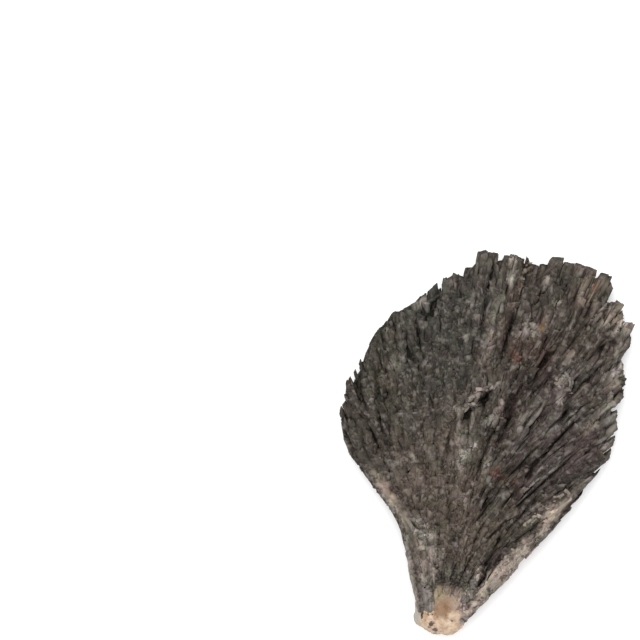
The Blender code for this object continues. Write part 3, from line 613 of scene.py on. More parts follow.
def grown_back(x, y, length, stray, rings):
    """Paths that end at the given tips, as (blades, rings, 2), first the root end and last the tip."""
    path = [np.stack((x, y), -1)]
    shares = STATIONS[rings]
    for near, far in zip(shares[-2::-1], shares[:0:-1]):
        px, py = xy(path[-1])
        gx, gy = growth_direction(px, py, stray)
        path.append(np.stack((px - gx * length * (far - near), py - gy * length * (far - near)), -1))
    return np.stack(path[::-1], 1)


def trimmed_lengths(x, y, length, stray, margin):
    """Lengths cut down until the root ends lie inside the outline too."""
    length = np.array(length, float)
    for _ in range(9):
        start = grown_back(x, y, length, stray, 5)[:, 0]
        length = np.where(inside(*xy(start), margin), length, length * 0.78)
    return length


def scattered(count, margin, seed):
    """Evenly scattered places on the fan, from a low-discrepancy sequence."""
    golden = 1.32471795724
    n = np.arange(1, int(count * 2.2)) + seed * 1000.0
    left, right, low, high = -30.0, 29.0, -40.0, 41.0
    x = left + (right - left) * ((n / golden) % 1.0)
    y = low + (high - low) * ((n / golden**2) % 1.0)
    kept = inside(x, y, margin)
    return x[kept][:count], y[kept][:count]


def blade_arrays(path, up, width, thick, slant, chip, blunt, dice):
    """Corners of blades whose centre lines, upward directions, widths and thicknesses are given.

    Each ring has six corners: a flat underside, two sides, and a top with a low ridge along it. The outer
    end is cut off at a slant and chipped, each corner by its own share of the width."""
    count, rings = path.shape[:2]
    ahead = np.gradient(path, axis=1)
    ahead /= np.linalg.norm(ahead, axis=-1, keepdims=True)
    side = np.cross(ahead, up)
    side /= np.linalg.norm(side, axis=-1, keepdims=True)
    over = np.cross(side, ahead)
    ridge = dice.uniform(-0.35, 0.35, count)[:, None]
    share = stations(rings)
    grow = 0.7 + 0.3 * np.minimum(1.0, share * 1.8) - blunt * (share == 1.0)
    half = 0.5 * width[:, None] * grow * dice.uniform(0.8, 1.15, (count, rings))
    deep = 0.5 * thick[:, None] * dice.uniform(0.8, 1.2, (count, rings))
    shape = ((-0.9, -1.0), (0.9, -1.0), (1.0, 0.5), (None, 1.0), (-0.8, 0.85), (-1.05, 0.15))
    corners = np.empty((count, rings, 6, 3))
    for k, (a, b) in enumerate(shape):
        a = ridge if a is None else a
        jitter = dice.uniform(-0.1, 0.1, (count, rings))
        aside, above = (half * (a + jitter))[..., None], (deep * (b + jitter))[..., None]
        corners[:, :, k] = path + side * aside + over * above
    lateral = np.array([0.0 if a is None else a for a, _ in shape])
    end = slant[:, None] * lateral[None, :] + dice.uniform(-chip, chip, (count, 6)) * width[:, None]
    corners[:, -1] += ahead[:, -1][:, None, :] * end[..., None]
    return corners


def blade_faces(count, rings):
    """Quads round the blades and fans over both ends, for rings of six corners."""
    quads = []
    for j in range(rings - 1):
        for k in range(6):
            a, b = j * 6 + k, j * 6 + (k + 1) % 6
            quads.append((a, b, b + 6, a + 6))
    last = (rings - 1) * 6
    quads += [(3, 2, 1, 0), (5, 4, 3, 0)]
    quads += [(last, last + 1, last + 2, last + 3), (last, last + 3, last + 4, last + 5)]
    base = np.arange(count)[:, None, None] * rings * 6
    return (np.array(quads)[None] + base).reshape(-1, 4)


def add_object(name, data):
    made = bpy.data.objects.new(name, data)
    bpy.context.scene.collection.objects.link(made)
    return made


def from_bmesh(name, mesh):
    """An object with a bmesh's faces. The bmesh is used up."""
    data = bpy.data.meshes.new(name)
    mesh.to_mesh(data)
    mesh.free()
    return add_object(name, data)


def fill_mesh(name, corners, quads):
    """A mesh object in metres from corners in millimetres and quads."""
    data = bpy.data.meshes.new(name)
    data.vertices.add(len(corners))
    data.vertices.foreach_set("co", (corners * MM).astype(np.float32).ravel())
    data.loops.add(quads.size)
    data.loops.foreach_set("vertex_index", quads.astype(np.int32).ravel())
    data.polygons.add(len(quads))
    data.polygons.foreach_set("loop_start", np.arange(0, quads.size, 4, dtype=np.int32))
    data.update(calc_edges=True)
    return add_object(name, data)


def linear(colour):
    """sRGB out of 255 to linear light."""
    c = np.array(colour) / 255.0
    return np.where(c <= 0.04045, c / 12.92, ((c + 0.055) / 1.055) ** 2.4)


def spread(x, y, patch):
    """How far places lie inside a patch: under 1 within its ellipse."""
    (cx, cy), (rx, ry), turn = patch
    aim = math.radians(turn)
    along = ((x - cx) * math.sin(aim) + (y - cy) * math.cos(aim)) / ry
    across = ((x - cx) * math.cos(aim) - (y - cy) * math.sin(aim)) / rx
    return np.hypot(along, across)


def beside(x, y, line, width):
    """Distance from a line, as a share of half its width."""
    nearest = np.full(x.shape, np.inf)
    for (x0, y0), (x1, y1) in zip(line[:-1], line[1:]):
        dx, dy = x1 - x0, y1 - y0
        t = np.clip(((x - x0) * dx + (y - y0) * dy) / (dx * dx + dy * dy), 0.0, 1.0)
        nearest = np.minimum(nearest, np.hypot(x - x0 - t * dx, y - y0 - t * dy))
    return nearest / (0.5 * width)


def zone_colours(points):
    """The kyanite's colour at places: patches, strokes and holes with ragged edges on a dark ground. Most is
    its own colour, but a few dark patches are painted shade in pits and hollows, and the pale marks round two
    pits are partly painted highlight.
    """
    x, y = from_apex(*xy(points))
    colour = np.tile(linear(DARK), (len(x), 1))
    marks = [(spread(x, y, patch[:3]), min(patch[1]), *patch[3:]) for patch in PATCHES]
    marks += [(beside(x, y, line, width), width, tint, strength) for line, width, tint, strength in STROKES]
    marks += [(spread(x, y, (*hole, HOLE_TURN)), min(hole[1]), HOLE, HOLE_STRENGTH) for hole in HOLES]
    for index, (far, size, tint, strength) in enumerate(marks):
        size = min(size, 4.0)
        ragged = 0.5 * lumps(x / (0.45 * size), y / (0.6 * size), 20.0 + index)
        ragged += 0.3 * lumps(x / 0.6, y / 0.8, 70.0 + index)
        weight = strength * ease(1.3, 0.5, far + ragged)
        colour += (linear(tint) - colour) * weight[:, None]
    return colour * streaks(points)


def streaks(points):
    """Factors for grey pale and brown dark streaks along the growth, and for the paler ends at the rim."""
    angle, radius = polar(*xy(points))
    at_root = stream(angle, radius)
    thin = lumps(at_root / 0.55, radius / 5.0, 52.0)
    wide = lumps(at_root / 1.5, radius / 9.0, 53.0)
    blotch = lumps(points[:, 0] / 2.2, points[:, 1] / 2.8, 54.0)
    lobe = ease(1.0, 7.0, angle) * ease(24.0, 36.0, radius) * ease(76.0, 66.0, radius)
    light = (0.12 + 0.34 * lobe) * thin + (0.08 + 0.16 * lobe) * wide + 0.13 * blotch
    light += at(RIM_LIGHT, angle) * ease(4.6, 0.8, rim_radius(angle) - radius)
    greyer = np.array(STREAK_HUE)[None, :] * ((0.3 + 0.7 * lobe) * (0.6 * thin + 0.6 * wide))[:, None]
    return (1.0 + light)[:, None] * (1.0 + greyer)


def dust_share(points):
    """How much pale dust lies at places: most on both flanks and round the root."""
    x, y = xy(points)
    angle, radius = polar(x, y)
    right = np.radians(at(RIGHT_FLANK, radius) - angle) * radius
    left = np.radians(angle - at(LEFT_FLANK, radius)) * radius
    wide = lumps(x / 2.2, y / 2.2, 40.0)
    on_right = ease(4.2, 1.6, right + 0.9 * wide) * ease(44.0, 34.0, radius)
    outer = radius + 3.0 * lumps(x / 1.4, y / 1.4, 41.0)
    on_right *= 1.0 - 0.95 * ease(1.9, 0.9, right + 0.4 * wide) * ease(25.0, 34.0, outer)
    on_left = 0.5 * ease(2.6, 0.9, left + 0.6 * wide) * ease(43.0, 36.5, radius) * ease(22.0, 30.0, radius)
    root = 0.26 * ease(30.0, 14.0, radius + 4.0 * wide)
    return np.clip(np.maximum(np.maximum(on_right, on_left), root), 0.0, 1.0)


def paint(piece, corners, colour, grain, proud, tone):
    """Stores what the material reads at each corner: colour, grain, height, dust and the blade's own tone.
    The material paints shade and light from the height.
    """
    data = piece.data
    for name, kind, values in (
        ("zone", "FLOAT_COLOR", np.hstack((colour, np.ones((len(colour), 1))))),
        ("grain", "FLOAT_VECTOR", grain),
        ("proud", "FLOAT", proud),
        ("dust", "FLOAT", dust_share(corners)),
        ("tone", "FLOAT", tone),
    ):
        layer = data.attributes.new(name, kind, "POINT")
        field = {"FLOAT_COLOR": "color", "FLOAT_VECTOR": "vector", "FLOAT": "value"}[kind]
        layer.data.foreach_set(field, values.astype(np.float32).ravel())


def make_blades(name, path, up, width, thick, slant, chip, proud_of, dice, blunt=0.12, tint=None):
    """One piece of many blades, riding on the fan. tint is each blade's own colour, if it has one."""
    count, rings = path.shape[:2]
    corners = blade_arrays(path, up, width, thick, slant, chip, blunt, dice)
    corners[..., 2] += BLADE_ROUGH * lumps(corners[..., 0] / 0.75, corners[..., 1] / 0.95, 90.0)
    corners[..., 0], corners[..., 1] = within_outline(*xy(corners))
    corners[..., 2] = np.maximum(corners[..., 2], LOWEST)
    run = np.linalg.norm(np.diff(path, axis=1), axis=-1).cumsum(1)
    run = np.hstack((np.zeros((count, 1)), run))
    grain = np.empty((count, rings, 6, 3))
    grain[..., 0] = width[:, None, None] * BLADE_ROUND + dice.uniform(0.0, 400.0, count)[:, None, None]
    grain[..., 1] = run[..., None] + dice.uniform(0.0, 400.0, count)[:, None, None]
    grain[..., 2] = 0.0
    flat = corners.reshape(-1, 3)
    tone = np.repeat(dice.uniform(0.0, 1.0, count), rings * 6)
    colour = zone_colours(flat) if tint is None else np.repeat(tint, rings * 6, axis=0)
    piece = fill_mesh(name, flat, blade_faces(count, rings))
    paint(piece, flat, colour, grain.reshape(-1, 3), proud_of(flat), tone)
    finish_piece(piece, KYANITE, "kyanite_fan")


def finish_piece(piece, material, node):
    """Gives a piece its material, and says what it rides on, which solid it replaces."""
    piece.data.materials.append(material)
    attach(piece, "root")
    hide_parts(node)


def proud_of_front(points):
    """How far points stand above the front's own form, from which the material paints shade and light. The
    other three do the same for their blades.
    """
    return points[:, 2] - front_height(*polar(*xy(points)))


def proud_of_back(points):
    return back_height(*polar(*xy(points))) - points[:, 2]


def proud_of_rim(points):
    """The layers between both faces lie in each other's shade."""
    angle, radius = polar(*xy(points))
    under = np.minimum(front_height(angle, radius) - points[:, 2], points[:, 2] - back_height(angle, radius))
    return -0.05 - 0.55 * np.clip(under - 0.4, 0.0, 1.6)


def proud_of_flank(points):
    return np.full(len(points), 0.1)


def laid_on(surface, sign, path, thick, sink, lift):
    """Gives flat paths their heights: sunk at the root end, and standing proud at the tip."""
    share = stations(path.shape[1])
    proud = -sink[:, None] + (sink + lift)[:, None] * share**1.3
    z = surface(*xy(path)) + sign * (proud - 0.5 * thick[:, None])
    return np.dstack((path, z))


def face_blades(
    name, surface, sign, count, seed, length, width, thick, lift, sink, stray, chip, rings, half=None
):
    """Blades scattered over one face. half keeps those left (-1) or right (1) of the crest."""
    dice = np.random.default_rng(seed)
    x, y = scattered(count, 0.35, seed)
    if half is not None:
        kept = (polar(x, y)[0] < CREST_ANGLE) == (half < 0)
        x, y = x[kept], y[kept]
    count = len(x)
    radius = polar(x, y)[1]
    scale = 0.5 + 0.5 * np.clip(radius / FULL_GROWTH, 0.0, 1.3)
    turned = dice.normal(0.0, stray, count)
    lengths = trimmed_lengths(x, y, dice.uniform(*length, count) * scale, turned, 0.5)
    widths = dice.uniform(*width, count) * scale * dice.choice((0.6, 1.0, 1.0, 1.4), count)
    widths = np.minimum(widths, 0.6 * lengths + 0.2)
    thicks = dice.uniform(*thick, count)
    sinks, lifts = dice.uniform(*sink, count), dice.uniform(*lift, count)
    flat_path = grown_back(x, y, lengths, turned, rings)
    relief = FRONT_RELIEF if sign > 0 else BACK_RELIEF
    clear = relief.clear(flat_path, widths)
    flat_path, widths, thicks, sinks, lifts = (v[clear] for v in (flat_path, widths, thicks, sinks, lifts))
    count = len(widths)
    path = laid_on(surface, sign, flat_path, thicks, sinks, lifts)
    up = normals(surface, *xy(path), sign)
    up[..., 0] += dice.uniform(-0.35, 0.35, count)[:, None]
    slant = dice.uniform(-0.4, 0.4, count) * np.minimum(widths, 1.6)
    proud_of = proud_of_front if sign > 0 else proud_of_back
    make_blades(name, path, up, widths, thicks, slant, chip, proud_of, dice)


def rim_ends(dice):
    """Each rim blade's angle, width, layer, reach and the slope of its broken end."""
    rows = []
    for first, last, low, high in RIM_BLOCKS:
        width = math.radians(last - first) * 0.5 * (low + high)
        for layer in range(RIM_LAYERS):
            parts = 1 + int(width * dice.uniform(0.45, 1.1))
            cuts = np.sort(dice.uniform(0.2, 0.8, parts - 1))
            bounds = np.concatenate(([0.0], cuts, [1.0]))
            for a, b in zip(bounds[:-1], bounds[1:]):
                middle = 0.5 * (a + b)
                rows.append((
                    first + (last - first) * middle, 1.15 * width * (b - a), layer,
                    low + (high - low) * middle, (high - low) / width,
                ))
    return np.array(rows).T


def rim_blades():
    """The blades whose broken ends make the rim, in layers from the back to the front."""
    dice = np.random.default_rng(31)
    angle, widths, layer, reach, slope = rim_ends(dice)
    count = len(angle)
    share = (layer + 0.5 + dice.uniform(-0.4, 0.4, count)) / RIM_LAYERS
    step_back = dice.choice((0.0, 0.2, 0.5, 1.1, 2.0), count, p=(0.3, 0.22, 0.2, 0.16, 0.12))
    step_back[np.abs(share - RIM_MIDDLE) < 0.1] *= 0.15
    shell = 3.0 * np.abs(share - RIM_MIDDLE) ** 1.5
    x, y = place(angle, reach + rim_radius(angle) - at(RIM_ENDS, angle) - step_back - shell - 0.08)
    turned = dice.normal(0.0, 2.0, count)
    lengths = trimmed_lengths(x, y, dice.uniform(4.0, 11.0, count), turned, 0.7)
    widths = np.minimum(np.maximum(widths, 0.3), 0.5 * lengths)
    thicks = dice.uniform(0.45, 1.0, count)
    path = grown_back(x, y, lengths, turned, 5)
    a, r = polar(*xy(path))
    low, high = back_height(a, r) + 0.3, front_height(a, r) - 0.3
    along = stations(5)
    z = low + (high - low) * (0.5 + (share[:, None] - 0.5) * (0.75 + 0.25 * along))
    path = np.dstack((path, z))
    outer = np.abs(share - 0.5) > RIM_OUTER
    widths = np.where(outer, 0.82 * widths, widths)
    front, back = (relief.clear(path[..., :2], widths) for relief in (FRONT_RELIEF, BACK_RELIEF))
    kept = np.where(share > 0.5, front, back) | ~outer
    path, widths, thicks, share, slope = (v[kept] for v in (path, widths, thicks, share, slope))
    count = len(widths)
    up = np.zeros_like(path)
    up[..., 2] = 1.0
    up[..., 0] = dice.uniform(-0.2, 0.2, count)[:, None]
    slant = 0.5 * widths * np.clip(slope + dice.uniform(-0.12, 0.12, count), -1.6, 1.6)
    make_blades("rim_blades", path, up, widths, thicks, slant, 0.09, proud_of_rim, dice, 0.14)


def flank_blades():
    """Long fine blades that follow both flanks, from the back's edge round to the front's."""
    dice = np.random.default_rng(47)
    paths, ups = [], []
    for flank, side, far, rest in FLANKS:
        count = FLANK_COUNT
        start = ROOT_RADIUS + (far - 14.0) * dice.random(count) ** 0.9
        length = np.minimum(dice.uniform(4.0, 13.0, count), far - start)
        share = dice.random(count)
        along = stations(5)
        radius = start[:, None] + length[:, None] * along
        bow = np.abs(2.0 * share[:, None] - 1.0)
        proud = -0.28 + 0.3 * along * dice.random(count)[:, None]
        inset = rest + 1.5 * bow**2.2 - proud
        angle = at(flank, radius) + side * np.degrees(inset / radius)
        low, high = back_height(angle, radius) + 0.25, front_height(angle, radius) - 0.25
        z = low + (high - low) * share[:, None]
        x, y = place(angle, radius)
        paths.append(np.dstack((x, y, z)))
        tilt = (share - 0.5) * math.pi * 0.95
        outward = np.radians(at(flank, radius))
        up = np.dstack((-side * np.cos(outward), side * np.sin(outward), np.zeros_like(x)))
        up *= np.cos(tilt)[:, None, None]
        up[..., 2] += np.sin(tilt)[:, None]
        ups.append(up)
    path, up = np.concatenate(paths), np.concatenate(ups)
    count = len(path)
    widths, thicks = dice.uniform(0.6, 1.6, count), dice.uniform(0.5, 0.9, count)
    slant = dice.uniform(-0.5, 0.5, count)
    make_blades("flank_blades", path, up, widths, thicks, slant, 0.1, proud_of_flank, dice)


def crumbs():
    """Short pale broken bits, scattered along the lines of crumbs."""
    dice = np.random.default_rng(59)
    rows = []
    for points, width, tint in CRUMB_LINES:
        for (x0, y0), (x1, y1) in zip(points[:-1], points[1:]):
            steps = int(math.hypot(x1 - x0, y1 - y0) * width / CRUMB_WIDTH / CRUMB_STEP) + 1
            aim = math.atan2(x1 - x0, y1 - y0)
            for i in range(steps):
                spot = x0 + (x1 - x0) * i / steps, y0 + (y1 - y0) * i / steps
                rows.append((*spot, aim, width, *linear(tint)))
    rows = np.array(rows)
    count = len(rows)
    x = APEX[0] + rows[:, 0] + dice.normal(0.0, 0.28, count) * rows[:, 3]
    y = APEX[1] + rows[:, 1] + dice.normal(0.0, 0.28, count) * rows[:, 3]
    aim = rows[:, 2] + dice.normal(0.0, 0.45, count)
    length = dice.uniform(0.6, 1.4, count)
    along = stations(3) * length[:, None]
    aim = aim[:, None]
    flat = np.dstack((x[:, None] - np.sin(aim) * along, y[:, None] - np.cos(aim) * along))
    height = front_surface(*xy(flat)) + dice.uniform(-0.15, 0.12, count)[:, None]
    up = np.zeros((count, 3, 3))
    up[..., 0] = dice.normal(0.0, 0.4, count)[:, None]
    up[..., 1] = dice.normal(0.0, 0.4, count)[:, None]
    up[..., 2] = 1.0
    widths, thicks = dice.uniform(0.5, 1.0, count), dice.uniform(0.35, 0.6, count)
    tints = rows[:, 4:] * dice.uniform(0.5, 1.05, count)[:, None]
    slant = dice.uniform(-0.3, 0.3, count)
    path = np.dstack((flat, height))
    make_blades("pale_crumbs", path, up, widths, thicks, slant, 0.2, proud_of_front, dice, 0.3, tints)


def feldspar_top(x, y):
    """Height of the feldspar's two lumps over places, and 0 beside them."""
    ax, ay = from_apex(x, y)
    top = np.zeros_like(ax)
    for (cx, cy, cz), (rx, ry, rz) in FELDSPAR_LUMPS:
        inner = 1.0 - ((ax - cx) / rx) ** 2 - ((ay - cy) / ry) ** 2
        top = np.maximum(top, np.where(inner > 0.0, cz + rz * np.sqrt(np.maximum(inner, 0.0)), 0.0))
    return top


def collar_blades():
    """Small tan blades that lie over the upper edge of the feldspar."""
    dice = np.random.default_rng(53)
    count = COLLAR_COUNT
    run = np.linspace(0.0, 1.0, len(COLLAR))
    share = dice.random(count)
    x = APEX[0] + np.interp(share, run, [p[0] for p in COLLAR]) + dice.normal(0.0, 0.35, count)
    y = APEX[1] + np.interp(share, run, [p[1] for p in COLLAR]) + dice.uniform(-0.5, 1.1, count)
    turned = dice.normal(0.0, 11.0, count)
    flat = grown_back(x, y, dice.uniform(1.2, 3.0, count), turned, 5)
    widths, thicks = dice.uniform(0.4, 0.9, count), dice.uniform(0.3, 0.6, count)
    level = np.maximum(front_surface(*xy(flat)), feldspar_top(*xy(flat)))
    path = np.dstack((flat, level + dice.uniform(-0.15, 0.12, count)[:, None] - 0.5 * thicks[:, None]))
    up = np.zeros_like(path)
    up[..., 0], up[..., 2] = dice.uniform(-0.4, 0.4, count)[:, None], 1.0
    slant = dice.uniform(-0.3, 0.3, count)
    make_blades("collar_blades", path, up, widths, thicks, slant, 0.2, proud_of_front, dice)


def ground():
    """The dark rock under the blades, painted darker still as shade: a closed skin a little inside both faces
    and the outline.
    """
    dice = np.random.default_rng(3)
    share = np.linspace(0.0, 1.0, GROUND_COLUMNS)[None, :]
    step = np.linspace(0.0, 1.0, GROUND_ROWS)[:, None]
    far = at(RIM, GROUND_FIRST + GROUND_SWEEP * share) - GROUND_SHORT - 0.2
    radius = GROUND_START + (far - GROUND_START) * step
    narrow = np.degrees(GROUND_INSET / radius)
    left, right = at(LEFT_FLANK, radius) + narrow, at(RIGHT_FLANK, radius) - narrow
    angle = left + (right - left) * share
    radius = np.minimum(radius, at(RIM, angle) - GROUND_SHORT)
    x, y = place(angle, radius)
    top = front_surface(x, y) - GROUND_SINK + 0.14 * lumps(x / 0.5, y / 0.8, 60.0)
    bottom = np.maximum(back_surface(x, y) + GROUND_SINK, 0.3)
    skin = np.concatenate((np.dstack((x, y, top)).reshape(-1, 3), np.dstack((x, y, bottom)).reshape(-1, 3)))
    quads = []
    grid = np.arange(GROUND_ROWS * GROUND_COLUMNS).reshape(GROUND_ROWS, GROUND_COLUMNS)
    for cells, flip in ((grid, False), (grid + grid.size, True)):
        a, b, c, d = cells[:-1, :-1], cells[:-1, 1:], cells[1:, 1:], cells[1:, :-1]
        order = (a, d, c, b) if flip else (a, b, c, d)
        quads.append(np.stack([o.ravel() for o in order], 1))
    border = np.concatenate((grid[0, :-1], grid[:-1, -1], grid[-1, :0:-1], grid[:0:-1, 0]))
    after = np.roll(border, -1)
    quads.append(np.stack((border + grid.size, after + grid.size, after, border), 1))
    piece = fill_mesh("kyanite_ground", skin, np.concatenate(quads))
    # The ground's low height and low tone make the material paint it darker, as shade under the blades, and
    # darkest where slits open onto it.
    opened = FRONT_RELIEF.sample(FRONT_RELIEF.open, *xy(skin)) * (skin[:, 2] > GROUND_FRONT)
    grain = np.stack((*xy(skin), np.zeros(len(skin))), 1)
    paint(piece, skin, zone_colours(skin), grain, -0.6 - 2.4 * opened, dice.random(len(skin)) * 0.2)
    finish_piece(piece, KYANITE, "kyanite_fan")


# ------------ the feldspar


def feldspar_reach(direction):
    """How far the feldspar reaches from its centre in one direction."""
    block = sum(abs(direction[k] / FELDSPAR_RADII[k]) ** FELDSPAR_SQUARE for k in range(3))
    reaches = [block ** (-1.0 / FELDSPAR_SQUARE)]
    for middle, radii in FELDSPAR_LUMPS:
        start = Vector([(FELDSPAR_CENTRE[k] - middle[k]) / radii[k] for k in range(3)])
        ray = Vector([direction[k] / radii[k] for k in range(3)])
        a, b, c = ray.dot(ray), ray.dot(start), start.dot(start) - 1.0
        if b * b > a * c:
            reaches.append(max(0.0, (-b + math.sqrt(b * b - a * c)) / a))
    return sum(r**FELDSPAR_BLEND for r in reaches) ** (1.0 / FELDSPAR_BLEND)


def feldspar():
    """The cream lump at the root, with knobs, crumbly grains and small pits."""
    mesh = bmesh.new()
    bmesh.ops.create_icosphere(mesh, subdivisions=FELDSPAR_SUBDIVISIONS, radius=1.0)
    centre = Vector(FELDSPAR_CENTRE)
    apex = Vector((APEX[0], APEX[1], 0.0))
    for corner in mesh.verts:
        direction = corner.co.normalized()
        reach = feldspar_reach(direction)
        knobs = KNOB_HEIGHT * noise.noise(direction * KNOBS + Vector((3.1, 0.7, 5.2)))
        spot = direction * reach
        grains = sum(size * noise.noise(spot * often) for size, often in FELDSPAR_GRAINS)
        pits = -PIT_DEPTH * max(0.0, noise.noise(spot * PITS + Vector((7.0, 1.0, 2.0))) - PIT_START)
        corner.co = (apex + centre + direction * (reach + knobs + grains + pits)) * MM
    finish_piece(from_bmesh("feldspar_root", mesh), feldspar_material(), "matrix_root")


# ------------ materials


class Nodes:
    """A short way to write a material's node tree."""

    def __init__(self, name):
        self.material = bpy.data.materials.new(name)
        self.material.use_nodes = True
        self.tree = self.material.node_tree
        self.shader = self.tree.nodes["Principled BSDF"]

    def add(self, kind, inputs=None, **settings):
        node = self.tree.nodes.new(kind)
        for key, value in settings.items():
            setattr(node, key, value)
        for key, value in (inputs or {}).items():
            if isinstance(value, bpy.types.NodeSocket):
                self.tree.links.new(value, node.inputs[key])
            else:
                node.inputs[key].default_value = value
        return node

    def attribute(self, name, output):
        return self.add("ShaderNodeAttribute", attribute_name=name).outputs[output]

    def millimetres(self):
        """The place on the piece, in millimetres."""
        return self.scaled(self.add("ShaderNodeTexCoord").outputs["Object"], (1000.0, 1000.0, 1000.0))

    def math(self, operation, a, b=0.0):
        return self.add("ShaderNodeMath", {0: a, 1: b}, operation=operation).outputs[0]

    def times(self, a, b):
        return self.math("MULTIPLY", a, b)

    def plus(self, a, b):
        return self.math("ADD", a, b)

    def minus(self, a, b):
        return self.math("SUBTRACT", a, b)

    def remap(self, value, low, high, to_low=0.0, to_high=1.0):
        inputs = {"Value": value, "From Min": low, "From Max": high, "To Min": to_low, "To Max": to_high}
        return self.add("ShaderNodeMapRange", inputs, clamp=True).outputs["Result"]

    def scaled(self, vector, scale):
        return self.add("ShaderNodeVectorMath", {0: vector, 1: scale}, operation="MULTIPLY").outputs[0]

    def noise(self, vector, scale=1.0, detail=2.0, roughness=0.55):
        inputs = {"Vector": vector, "Scale": scale, "Detail": detail, "Roughness": roughness}
        return self.add("ShaderNodeTexNoise", inputs).outputs["Fac"]

    def mix(self, factor, a, b, blend="MIX"):
        node = self.add("ShaderNodeMix", {0: factor, 6: a, 7: b}, data_type="RGBA", blend_type=blend)
        return node.outputs[2]

    def dye(self, colour, shares):
        """Lays colours over a colour one after another, each by its share."""
        for share, tint in shares:
            colour = self.mix(share, colour, rgba(tint))
        return colour

    def bump(self, height, strength, distance):
        inputs = {"Height": height, "Strength": strength, "Distance": distance}
        self.link(self.add("ShaderNodeBump", inputs).outputs[0], "Normal")

    def link(self, output, socket):
        self.tree.links.new(output, self.shader.inputs[socket])

    def fix(self, socket, value):
        self.shader.inputs[socket].default_value = value


def rgba(colour):
    return (*[float(c) for c in linear(colour)], 1.0)


def kyanite_material():
    """Satin black blades: painted shade in the furrows and painted light where they stand proud, with wear
    there too; mottled, softly flecked with painted glints and pale grains, and pale where dusty.
    """
    n = Nodes("black_kyanite")
    here = n.millimetres()
    grain = n.attribute("grain", "Vector")
    proud, dust, tone = n.attribute("proud", "Fac"), n.attribute("dust", "Fac"), n.attribute("tone", "Fac")
    striae = n.noise(n.scaled(grain, (2.0, 0.4, 1.0)), 1.0, 1.0, 0.5)
    mottle = n.noise(here, 0.6, 2.0, 0.55)
    flecks = n.noise(n.scaled(grain, (0.95, 0.42, 1.0)), 1.0, 0.0)
    colour = n.attribute("zone", "Color")
    for noise_value, green, red in (
        (n.noise(here, 0.16, 2.0), GREENISH, REDDISH), (n.noise(here, 0.55, 2.0), OLIVISH, PURPLISH),
    ):
        colour = n.mix(1.0, colour, n.mix(n.remap(noise_value, 0.38, 0.62), green, red), "MULTIPLY")
    shade = n.remap(striae, 0.3, 0.7, 0.86, 1.05)
    # The two proud entries are painted shade and light: darker in furrows and slits, paler where blades stand
    # proud, with wear there too.
    for value, low, high, darkest, lightest in (
        (mottle, 0.32, 0.68, 0.74, 1.32), (tone, 0.0, 1.0, 0.77, 1.26),
        (proud, -1.2, 0.9, 0.7, 1.22), (proud, -3.0, -1.2, 0.5, 1.0),
    ):
        shade = n.times(shade, n.remap(value, low, high, darkest, lightest))
    grey = n.add("ShaderNodeCombineColor", {0: shade, 1: shade, 2: shade}).outputs[0]
    colour = n.mix(1.0, colour, grey, "MULTIPLY")
    settled = n.plus(mottle, n.times(n.minus(dust, 1.0), 0.3))
    # The specks and flecks below are painted glints as well as pale grains, a few more where the blades stand
    # proud.
    specks = n.plus(n.noise(here, 0.85, 1.5, 0.5), n.times(proud, 0.04))
    specks = n.plus(specks, n.times(n.minus(n.noise(here, 0.28, 1.0), 0.5), 0.35))
    veins = n.math("ABSOLUTE", n.minus(n.noise(here, 0.62, 2.0, 0.6), 0.5))
    holes = n.remap(n.noise(here, 0.75, 2.0, 0.5), 0.43, 0.36)
    high = n.plus(n.plus(flecks, n.times(proud, 0.08)), n.times(tone, 0.06))
    colour = n.dye(colour, (
        (n.remap(settled, 0.46, 0.62, 0.0, 0.75), DUSTY),
        (n.remap(specks, 0.57, 0.78, 0.0, 0.42), SPECK),
        (n.times(n.remap(veins, 0.07, 0.0), n.plus(n.times(dust, 0.5), 0.04)), VEIN),
        (n.times(holes, n.times(dust, 0.75)), HOLE),
        (n.remap(high, 0.66, 0.86, 0.0, 0.34), FLECK),
    ))
    bright = n.add("ShaderNodeRGBToBW", {0: colour}).outputs[0]
    colour = n.mix(1.0, colour, n.mix(n.remap(bright, 0.01, 0.1), IN_DARK, IN_PALE), "MULTIPLY")
    n.link(colour, "Base Color")
    n.link(n.remap(striae, 0.3, 0.7, 0.75, 0.5), "Roughness")
    n.fix("Specular IOR Level", 0.15)
    n.bump(n.plus(striae, n.times(n.noise(here, 0.9, 1.0), 0.4)), 0.35, 0.0004)
    return n.material


